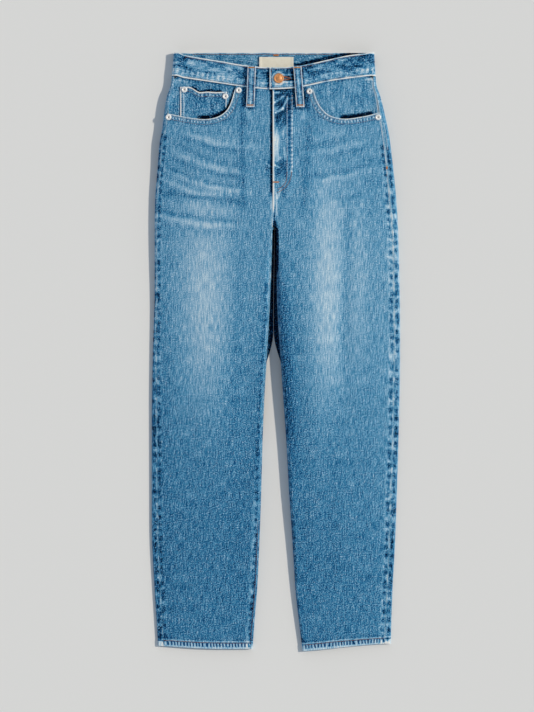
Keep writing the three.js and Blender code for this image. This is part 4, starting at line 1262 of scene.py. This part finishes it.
def band_plan():
    """Kind and value of each column, from the buttonhole's end round the back to the button's."""
    left, right = float(LEFT.outer(0)), float(RIGHT.outer(0))
    over = np.concatenate([
        OVERLAP_X + np.array(END_LINES), [HOLE_START, BUTTON_X], np.linspace(HOLE_EYE, HOLE_END, 14),
        np.linspace(HOLE_END + 1.7, left - 2 * BAND_TURN, 76),
    ])
    back = np.linspace(left - BAND_TURN, right + BAND_TURN, 112)[1:-1]
    under = np.linspace(right + 2 * BAND_TURN, UNDERLAP_X, 120)
    rolls = np.linspace(1, 0, 9)
    return (
        [("over", x) for x in over]
        + [("fold_upper", (LEFT, share)) for share in rolls]
        + [("fold_lower", (LEFT, share)) for share in rolls[::-1]]
        + [("back", x) for x in back]
        + [("fold_lower", (RIGHT, share)) for share in rolls]
        + [("fold_upper", (RIGHT, share)) for share in rolls[::-1]]
        + [("under", x) for x in under]
    )


def band_face(v):
    """x, down and height of the whole face, with more columns where a fold's turn starts."""
    plan, columns = band_plan(), []
    for here, ahead in zip(plan, plan[1:] + plan[-1:]):
        columns.append(np.stack(band_column(*here, v), axis=-1))
        if {here[0], ahead[0]} in ({"over", "fold_upper"}, {"fold_upper", "under"}):
            following = np.stack(band_column(*ahead, v), axis=-1)
            columns += [mix(columns[-1], following, t) for t in (0.2, 0.4, 0.6, 0.8)]
    return np.moveaxis(np.stack(columns, axis=1), -1, 0)


def hole_marks(x, down):
    """Paler cloth round the buttonhole and the button, and painted shade along the slit's rim."""
    near_hole = np.hypot(np.clip(np.abs(x - 18) - 11, 0, None), down - BUTTON_DOWN)
    near_button = np.hypot(x - BUTTON_X, down - BUTTON_DOWN)
    marks = 0.4 * bell(near_hole, 6.2, 1.5) + 0.45 * bell(near_button, BUTTON_RADIUS + 2, 1.6)
    return marks - 0.85 * bell(near_hole, 3.2, 1.5) * smooth(BUTTON_X, BUTTON_X + 6, x)


def band_front_marks(x, down, run):
    """Painted shadow beside the loops and beside the overlapping end, a little darker cloth on the left,
    and paler cloth between.
    """
    middle = span(x, -44, -30, 32, 44) * (run > OVERLAP_RUN)
    end_shadow = bell(x, -13.6, 2.4) * (run > UNDERLAP_RUN)
    left = 0.05 * smooth(30, 60, x)
    return 0.05 * middle - left - 0.5 * end_shadow - 0.45 * loop_shadow(x, down)


def make_band():
    v_hole = float(band_share(BUTTON_X, BUTTON_DOWN))
    slot, eye = HOLE_SLOT / BAND_FACE, HOLE_RADIUS / BAND_FACE
    v = np.concatenate([ROWS_ABOVE_HOLE, v_hole + np.array([-eye, -slot, 0, slot, eye]), ROWS_BELOW_HOLE])
    x, down, z = band_face(v)
    grid = place(x, down, z)
    run = np.broadcast_to(run_along(grid).mean(axis=0), x.shape)
    rows = np.broadcast_to(v[:, None], x.shape)
    in_front = z > FRONT_HEIGHT
    wear_and_shade = band_wear_and_shade(run, rows) + line_wear(run, BAND_END_LINES)
    wear_and_shade = wear_and_shade + in_front * band_front_marks(x, down, run)
    wear_and_shade = wear_and_shade + np.where(run < OVERLAP_RUN, hole_marks(x, down), 0)
    # Painted shadow that the front band casts on the back band's inner face.
    shade = smooth(8, 4.5, band_top(x) - down) * smooth(24, 50, x) * ~in_front
    inside = 0.36 + 0.12 * soft_noise(x, down, 9, 72) - 0.95 * shade + 0.5 * bell(down, 0.2, 1.1)
    middle_x, from_hole = (x[:-1, 1:] + x[:-1, :-1]) / 2, np.abs((v[1:] + v[:-1])[:, None] / 2 - v_hole)
    end = np.where(from_hole < slot, HOLE_END, HOLE_EYE)
    in_hole = (from_hole < eye) & (middle_x > HOLE_START) & (middle_x < end)
    present = ~(in_hole & (run[:-1, :-1] < OVERLAP_RUN))
    vertical = bell(rows, 0.76, 0.13) * (0.22 + 0.16 * soft_noise(run, 0, 30, 70)) * (z > 7)
    cloth("waistband", grid, 1, wear_and_shade, (rows * BAND_FACE, run), wall=BAND_WALL, present=present,
          inside=inside, puckers=(vertical, run / 9.2 + 0.25 * rows))


LOOP_WIDTH = 14.4
LOOP_WALL = 1.6
LOOPS = {"right": (-43.3, 24.5, -46.0, 98.0), "left": (38.5, 24.5, 44.0, 98.0)}
LOOP_LEVELS = [0, 0.1, 0.25, 0.42, 0.58, 0.66, 0.8, 0.93, 1]
LOOP_COLUMNS = np.array([0.09, 0.18, 0.27, 0.35, 0.42, 0.47, 0.5])


def outer_face(x, down):
    on_band = down < band_bottom(x) + 2
    return np.where(on_band, band_height(x, down, overlap_lift(x)), upper_any(x, down))


def loop_point(name, v, share):
    """A point of a front loop's outer face: x, down and height."""
    x_top, down_top, x_bottom, down_bottom = LOOPS[name]
    heights = []
    for edge in (-0.5, 0, 0.5):
        levels = np.array(LOOP_LEVELS)
        down = mix(down_top, down_bottom, levels)
        x = mix(x_top, x_bottom, levels) + edge * LOOP_WIDTH
        high = np.maximum(np.maximum(outer_face(x, down), outer_face(x, down - 5)), outer_face(x, down + 3))
        heights.append(np.interp(v, levels, high + 1.1 * np.sin(math.pi * levels)))
    z = np.where(share < 0, mix(heights[1], heights[0], -2 * share), mix(heights[1], heights[2], 2 * share))
    x = mix(x_top, x_bottom, v) + share * LOOP_WIDTH
    ridge = 0.35 * bell(np.abs(share), 0.42, 0.07) + 0.3 * bell(share, 0, 0.1)
    return x, mix(down_top, down_bottom, v), z + SEAM_GAP + LOOP_WALL + ridge


def make_front_loop(name):
    shares = np.concatenate([-LOOP_COLUMNS[::-1], [0], LOOP_COLUMNS])
    v, share = np.meshgrid(np.linspace(0, 1, 44), shares, indexing="ij")
    x, down, z = loop_point(name, v, share)
    away = np.abs(share)
    nubs = np.sin(down / 4.6 * math.tau)
    wear_and_shade = 0.31 + 0.20 * soft_noise(x, down, 5, 71) + 0.12 * nubs * bell(away, 0.22, 0.12)
    wear_and_shade = wear_and_shade + line_wear(away, LOOP_SIDE_LINES) + line_wear(v, LOOP_END_LINES)
    cloth(f"loop_front_{name}", place(x, down, z), 1, wear_and_shade, (x, -down), wall=LOOP_WALL)


def make_back_loop(name, x_middle):
    x, down = np.meshgrid(x_middle + LOOP_WIDTH * np.linspace(-0.5, 0.5, 9), np.linspace(2, 66, 20))
    cloth(f"loop_back_{name}", place(x, down, 0), 1, 0.42, (x, -down), wall=SEAT_LIFT - SEAM_GAP)


POCKET_WIDTH, POCKET_HEIGHT, POCKET_TIP = 138.0, 150.0, 22.0
POCKET_X, POCKET_DOWN, POCKET_TURN = 104.0, 138.0, 0.06


def make_back_pocket(side):
    u, v = np.meshgrid(np.linspace(-1, 1, 41), np.linspace(0, 1, 45))
    y = -v * mix(POCKET_HEIGHT, POCKET_HEIGHT - POCKET_TIP, np.abs(u))
    x = u * (POCKET_WIDTH / 2 - 7 * np.clip(-y / (POCKET_HEIGHT - POCKET_TIP), 0, 1))
    turn = side.sign * POCKET_TURN
    turned_x = x * math.cos(turn) - y * math.sin(turn) + side.sign * POCKET_X + SEAT_X
    turned_down = POCKET_DOWN - (x * math.sin(turn) + y * math.cos(turn))
    wear_and_shade = 0.46 + 0.2 * bell(np.abs(u), 1, 0.03) + 0.2 * bell(v, 0, 0.02)
    cloth(f"back_pocket_{side.name}", place(turned_x, turned_down, 0), 1, wear_and_shade, (x, y),
          wall=SEAT_LIFT - SEAM_GAP)


LABEL_WIDTH, LABEL_HEIGHT, LABEL_WALL = 61.6, 26.0, 1.0
LABEL_X, LABEL_DOWN = 0.9, 7.4


def label_top(x, down):
    turned_end = 0.6 * smooth(LABEL_WIDTH / 2 - 4.4, LABEL_WIDTH / 2 - 3.6, np.abs(x - LABEL_X))
    return SEAT_LIFT + BAND_WALL + SEAM_GAP + LABEL_WALL + turned_end + 0.2 * soft_noise(x, down, 14, 75)


def make_label():
    across = LABEL_X + LABEL_WIDTH * np.linspace(-0.5, 0.5, 41)
    x, down = np.meshgrid(across, LABEL_DOWN + LABEL_HEIGHT * np.linspace(0, 1, 19))
    grid = place(x, down, label_top(x, down))
    points, faces, _, _ = shell(grid, LABEL_WALL, -1)
    piece = object_from("woven_label", points, faces, LABEL_LOOK)
    dress(piece, "label_cloth", "label")


# Sewing. Each stitch is a small capsule that dips into the cloth at both ends.
STITCHES = {"rust": [], "pale": [], "orange": []}
STITCH_PITCH = 3.3


def add_stitches(colour, ends, radius):
    """Stitches from where each starts and where each ends."""
    STITCHES[colour].append((ends[0], ends[1], radius))


def sew(colour, path, pitch=STITCH_PITCH, share=0.8, radius=0.42):
    """A row of stitches along a path of points on the cloth."""
    run = run_along(path)
    middles = np.arange(pitch / 2, run[-1], pitch)
    ends = [np.stack([np.interp(middles + reach, run, path[:, k]) for k in range(3)], axis=-1)
            for reach in (-pitch * share / 2, pitch * share / 2)]
    add_stitches(colour, ends, radius)


def curve(points, step=1.0):
    """A smooth line through a few places on the garment."""
    places = np.array(points, float)
    run = run_along(places)
    rows = np.column_stack([run, places]).tolist()
    along = np.arange(0, run[-1], step)
    return [column(["run", "x", "down"], rows, "run", wanted)(along) for wanted in ("x", "down")]


def tack(colour, middle_x, middle_down, width, height, face, pitch=0.85):
    """A bar tack: close upright stitches side by side."""
    x = middle_x + np.arange(-width / 2, width / 2 + 0.01, pitch)
    levels = (middle_down - height / 2, middle_down + height / 2)
    add_stitches(colour, [place(x, down, face(x, down) + 0.35) for down in levels], 0.55)


def cloth_height(x, down):
    return np.where(x < FLY_X, front_face(RIGHT, x, down), front_face(LEFT, x, down))


def sew_on(face, colour, x, down, above=0.12, **how):
    """A row of stitches on a face, given by its height at x and down."""
    sew(colour, place(x, down, face(x, down) + above), **how)


def band_point(x, down, above=0.15):
    relief = band_relief(x - OVERLAP_X, band_share(x, down))
    return place(x, down, band_height(x, down, overlap_lift(x)) + relief + above)


def sew_band():
    """Rows along both edges of the band, and one down its overlapping end."""
    for start, end in ((OVERLAP_X + 2.6, 158), (-164, OVERLAP_X - 1)):
        x = np.arange(start, end, 1.0)
        for v in (0.07, 0.93):
            sew("rust", band_point(x, band_down(x, v)), share=0.74)
    x = np.full(60, OVERLAP_X + 2.8)
    sew("rust", band_point(x, band_down(x, np.linspace(0.06, 0.94, 60))))


def sew_inner_band():
    x = np.arange(-150, 104, 1.0)
    sew("rust", place(x, 2.6, SEAT_LIFT + BAND_WALL + 0.2), share=0.86, radius=0.6)
    tack("orange", 0.4, 4.3, 9, 3.4, lambda x, down: SEAT_LIFT + BAND_WALL + 0.1)


def sew_mouth(side):
    """Two rows along the pocket's edge."""
    outer = side.sign * (abs(float(side.outer(110))) - 12)
    x = np.linspace(side.pocket_end + side.sign * 1.0, outer, 220)
    slope = mouth_slope(side, x)
    for away in (2.9, 9.6):
        aside = away / np.sqrt(1 + slope**2)
        sew_on(cloth_height, "rust", x - aside * slope, side.pocket(x) + aside, share=0.7, radius=0.4)


FLY_ROWS = [
    [(29, 76), (29, 130), (28.8, 200), (28, 218), (25.5, 229), (20, 239.5), (11, 247.5), (1.5, 252)],
    [(20, 78), (20, 130), (20, 205), (19.8, 222), (17.6, 233), (12.5, 240.5), (6, 244.5), (1.3, 246.2)],
]
FLY_STRAIGHT_END = 214.0


def sew_fly():
    """Two rows down the fly, pale where they run straight and rust round its curve."""
    for row in FLY_ROWS:
        x, down = curve(row)
        straight = down < FLY_STRAIGHT_END
        sew_on(cloth_height, "pale", x[straight], down[straight], share=0.7, radius=0.55)
        sew_on(cloth_height, "rust", x[~straight], down[~straight], share=0.85, radius=0.7)
    tack("orange", 0.2, 233.1, 10.6, 2.6, cloth_height)


def sew_loop(name):
    _, down_top, _, down_bottom = LOOPS[name]
    v = np.linspace(0.03, 0.97, 80)
    for share in (-0.34, 0.34):
        x, down, z = loop_point(name, v, np.full_like(v, share))
        sew("rust", place(x, down, z + 0.1), share=0.7, radius=0.38)
    for v_tack in (0.035, 0.955):
        middle_x, middle_down, _ = loop_point(name, np.array(v_tack), np.array(0.0))

        def face(x, down):
            share = np.clip((x - middle_x) / LOOP_WIDTH, -0.5, 0.5)
            v_at = (down - down_top) / (down_bottom - down_top)
            return loop_point(name, np.full(np.shape(x), v_at), share)[2]

        tack("orange", float(middle_x), float(middle_down), 11, 2.6, face)


def sew_coin():
    x = mix(COIN_LEFT, COIN_RIGHT, np.linspace(0.05, 0.97, 150))
    for away in (2.6, 8.4):
        sew_on(coin_face, "rust", x, coin_top(coin_share(x)) + away, 0.1, share=0.72, radius=0.38)
    down = np.linspace(70, 112, 60)
    for away in (2.4, 5.6):
        sew_on(coin_face, "pale", np.full_like(down, COIN_LEFT + away), down, 0.4, radius=0.38)
    down = down[(down > 82) & (down < 97)]
    sew_on(coin_face, "pale", np.full_like(down, COIN_RIGHT - 2.6), down, 0.1, radius=0.38)


def sew_hem(side):
    t = np.linspace(0.0, 1.0, 220)
    down = hem_at(side, t) - HEM_STITCHES - 0.1
    outer = seam_x(side, down) - side.sign * 1.5
    x = mix(outer, front_inner(side, down) + side.sign * 0.8, t)
    sew_on(cloth_height, "rust", x, down, share=0.9, radius=0.55)


def sew_outseam(side):
    """Top stitches beside the outseam at the hip."""
    down = np.arange(126, 176, 1.0)
    x = seam_x(side, down) + side.sign * 4.6
    sew("pale", place(x, down, upper(side, x, down) + 0.15), share=0.86)
    down = np.arange(124, 282, 1.0)
    x = seam_x(side, down) - side.sign * 1.7
    sew("pale", place(x, down, front_face(side, x, down) + 0.1), share=0.86)
    tack("orange", float(seam_x(side, 207.0)) - side.sign * 0.6, 207, 1.8, 6, cloth_height, pitch=0.6)


def sew_inseam(side):
    down = np.arange(840, side.hem_inner - 14, 1.0)
    x = front_inner(side, down) + side.sign * 1.3
    sew("rust", place(x, down, front_face(side, x, down) + 0.05), share=0.75, radius=0.32)


def sew_buttonhole():
    """Close stitches round the slit, which taper to its closed end."""
    x = np.arange(HOLE_EYE + 0.6, HOLE_END + 0.5, 0.75)
    taper = smooth(HOLE_END + 1, BUTTON_X + 9, x)
    reaches = (0.3 + (HOLE_SLOT - 0.4) * taper, HOLE_SLOT + 0.5 + 2.6 * taper)
    for sense in (-1, 1):
        add_stitches("rust", [band_point(x, BUTTON_DOWN + sense * reach, 0.5) for reach in reaches], 0.5)
    down = BUTTON_DOWN + np.array([-0.75, 0, 0.75])
    ends = [band_point(np.full(3, HOLE_END + reach), down, 0.5) for reach in (0, 1.6)]
    add_stitches("rust", ends, 0.5)


def sew_label():
    down = np.arange(LABEL_DOWN + 1, LABEL_DOWN + LABEL_HEIGHT - 1, 1.0)
    for away in (2.2 - LABEL_WIDTH / 2, LABEL_WIDTH / 2 - 2.2):
        sew_on(label_top, "pale", np.full_like(down, LABEL_X + away), down, 0.15, pitch=2.4, radius=0.35)


def make_threads(colour, material):
    """All stitches of one colour, as one piece of short tubes with five sides and a tip at each end."""
    sides = 5
    angles = np.arange(sides)[:, None, None] * math.tau / sides
    k = np.arange(sides)
    following = (k + 1) % sides
    low, high = np.full(sides, 2 * sides), np.full(sides, 2 * sides + 1)
    pattern = np.stack([
        [k, following, sides + following], [k, sides + following, sides + k],
        [low, following, k], [high, sides + k, sides + following],
    ]).transpose(0, 2, 1).reshape(-1, 3)
    points = []
    for starts, ends, radius in STITCHES[colour]:
        along = ends - starts
        across = np.cross([0, 0, 1.0], along)
        across /= np.linalg.norm(across, axis=-1, keepdims=True)
        up = np.cross(along / np.linalg.norm(along, axis=-1, keepdims=True), across)
        ring = radius * (np.cos(angles) * across + np.sin(angles) * up)
        tips = [starts - up * radius * 0.9, ends - up * radius * 0.9]
        rings = [*(starts + along * 0.2 + ring), *(starts + along * 0.8 + ring)]
        points.append(np.stack(rings + tips, axis=1))
    points = np.concatenate(points)
    firsts = np.arange(len(points))[:, None, None] * points.shape[1]
    faces = (firsts + pattern).reshape(-1, 3)
    piece = object_from(f"stitches_{colour}", points.reshape(-1, 3), faces, material, sharp=80)
    dress(piece, "denim")


# Metal pieces, turned about an upright axis from a half profile of radius and height
def turned(name, profile, x, down, z, material, node=None, slot="rivet_metal", segments=48):
    """A round piece whose profile runs from its axis underneath, round the rim, to its axis on top."""
    angles = np.arange(segments) * math.tau / segments
    r, h = np.array(profile[1:-1], float).T[..., None]
    rings = place(x + r * np.cos(angles), down - r * np.sin(angles), z + h)
    tips = [place(x, down, z + profile[k][1]) for k in (0, -1)]
    points = np.concatenate([rings.reshape(-1, 3), tips])
    k = np.arange(segments)
    following = (k + 1) % segments
    faces, last = [], (len(rings) - 1) * segments
    for a in range(0, last, segments):
        b = a + segments
        faces += [[a + k, a + following, b + following], [a + k, b + following, b + k]]
    bottom, top = np.full(segments, last + segments), np.full(segments, last + segments + 1)
    faces += [[bottom, following, k], [top, last + k, last + following]]
    faces = np.stack(faces).transpose(0, 2, 1).reshape(-1, 3)
    piece = object_from(name, points, faces, material, sharp=40)
    dress(piece, slot, *([node] if node else []))


# Half profiles of the heads: how far in from the rim, and height above the underside
BUTTON_HEAD = [
    [1, 0], [0.2, 0.4], [0, 1.0], [0.2, 1.6], [0.8, 2.05], [1.6, 2.15], [2.3, 1.95], [2.8, 1.55],
    [3.2, 1.6], [4.2, 2.25], [5.6, 2.85], [7.2, 3.25], [BUTTON_RADIUS, BUTTON_DOME],
]
RIVET_RADIUS = 5.3
RIVET_HEAD = [
    [RIVET_RADIUS, 0], [0.5, 0], [0.1, 0.25], [0, 0.6], [0.3, 1.1], [0.9, 1.55], [1.6, 1.7],
    [2.3, 1.6], [2.8, 1.2], [3.2, 0.95], [RIVET_RADIUS, 0.9],
]
RIVET_CORE = [[0, 0.75], [1.35, 0.75], [1.3, 1.15], [0.9, 1.4], [0, 1.5]]


def make_button():
    under = float(upper(LEFT, BUTTON_X, BUTTON_DOWN) - fly_rise(BUTTON_X, BUTTON_DOWN)) + BAND_RELIEF
    head = OVERLAP_LIFT + 2 * SEAM_GAP
    stem = [[0, SEAM_GAP], [BUTTON_STEM, SEAM_GAP], [BUTTON_STEM, head]]
    profile = stem + [[BUTTON_RADIUS - inset, head + height] for inset, height in BUTTON_HEAD]
    turned("copper_button", profile, BUTTON_X, BUTTON_DOWN, under, COPPER, "button", "button_metal", 72)


RIVETS = [
    ["right_band", RIGHT, -67, 68, 0], ["right_side", RIGHT, -193, 116.2, 0],
    ["left_band", LEFT, 60.4, 69.8, 0], ["left_side", LEFT, 183.8, 116.4, 0],
    ["coin_outer", RIGHT, -164.7, 66.5, 1], ["coin_inner", RIGHT, -90.8, 78.8, 1],
]


def make_rivets():
    around = np.array([-RIVET_RADIUS, 0, RIVET_RADIUS])
    dx, dy = np.meshgrid(around, around)
    profile = [[RIVET_RADIUS - inset, height] for inset, height in RIVET_HEAD]
    for name, side, x, down, on_coin in RIVETS:
        sink = (facing_sink(side, x + dx, down + dy) - SEAM_GAP - DENIM) if on_coin else 0
        z = float((upper(side, x + dx, down + dy) - sink).max()) + SEAM_GAP
        turned(f"nickel_rivet_{name}", profile, x, down, z, NICKEL, f"rivet_{name}")
        turned(f"rivet_core_{name}", RIVET_CORE, x, down, z, DARK_METAL, segments=20)


# Brightness of the room low down, all round, and straight above
SKY_LOW, SKY_HIGH = 2.3, 0.45
SKY_COLOUR = (0.317, 0.366, 0.42)
# The sun's tilt from straight above and its turn about the upright, in degrees, and its own width
SUN_TILT, SUN_TURN, SUN_WIDTH = 51, 14, 2.4
SUN_STRENGTH, SUN_COLOUR = 2.445, (1.0, 0.903, 0.762)
FLOOR_SIZE = 14


def make_floor():
    bpy.ops.mesh.primitive_plane_add(size=FLOOR_SIZE)
    floor = bpy.context.object
    floor.name = "floor"
    floor.data.materials.append(floor_material())


def make_sky():
    """A room that is brighter low down than above, so that shaded sides stay soft."""
    world = bpy.data.worlds.new("studio")
    world.use_nodes = True
    tree = world.node_tree
    tree.nodes["Background"].inputs["Color"].default_value = socket_colour(*SKY_COLOUR)
    direction = tree.nodes.new("ShaderNodeTexCoord").outputs["Generated"]
    apart = tree.nodes.new("ShaderNodeSeparateXYZ")
    tree.links.new(direction, apart.inputs[0])
    strength = tree.nodes.new("ShaderNodeMapRange")
    tree.links.new(apart.outputs["Z"], strength.inputs["Value"])
    strength.inputs["To Min"].default_value = SKY_LOW
    strength.inputs["To Max"].default_value = SKY_HIGH
    tree.links.new(strength.outputs["Result"], tree.nodes["Background"].inputs["Strength"])
    bpy.context.scene.world = world


def make_sun():
    sun = bpy.data.lights.new("key", "SUN")
    sun.energy = SUN_STRENGTH
    sun.color = SUN_COLOUR
    sun.angle = math.radians(SUN_WIDTH)
    lamp = bpy.data.objects.new("key", sun)
    lamp.rotation_euler = (0, math.radians(SUN_TILT), math.radians(SUN_TURN))
    bpy.context.scene.collection.objects.link(lamp)


# The photo's picture elements, in millimetres, and where the camera stands over the garment
PIXEL = 1.8
FRAME_HEIGHT = 712 * PIXEL
CAMERA_X, CAMERA_Y, CAMERA_HEIGHT = -16.0, -7.4, 12000.0


def make_camera():
    camera = bpy.data.cameras.new("camera")
    camera.sensor_fit = "VERTICAL"
    camera.lens = camera.sensor_height * CAMERA_HEIGHT / FRAME_HEIGHT
    camera.clip_end = 100
    stand = bpy.data.objects.new("camera", camera)
    stand.location = (CAMERA_X * MM, CAMERA_Y * MM, CAMERA_HEIGHT * MM)
    bpy.context.scene.collection.objects.link(stand)
    bpy.context.scene.camera = stand


make_camera()
make_floor()
make_sky()
make_sun()
bpy.context.scene.view_settings.view_transform = "Standard"
for each in (RIGHT, LEFT):
    make_front(each)
    make_back(each)
    make_yoke(each)
    make_facing(each)
    make_back_pocket(each)
    make_front_loop(each.name)
    sew_mouth(each)
    sew_hem(each)
    sew_loop(each.name)
make_coin_pocket()
make_band()
for loop_name, loop_x in (("right", -118.0), ("middle", SEAT_X), ("left", 112.0)):
    make_back_loop(loop_name, loop_x)
make_label()
sew_band()
sew_inner_band()
sew_fly()
sew_outseam(LEFT)
sew_inseam(RIGHT)
sew_coin()
sew_buttonhole()
sew_label()
for thread_colour, thread_look in (("rust", RUST), ("pale", PALE), ("orange", ORANGE)):
    make_threads(thread_colour, thread_look)
make_button()
make_rivets()
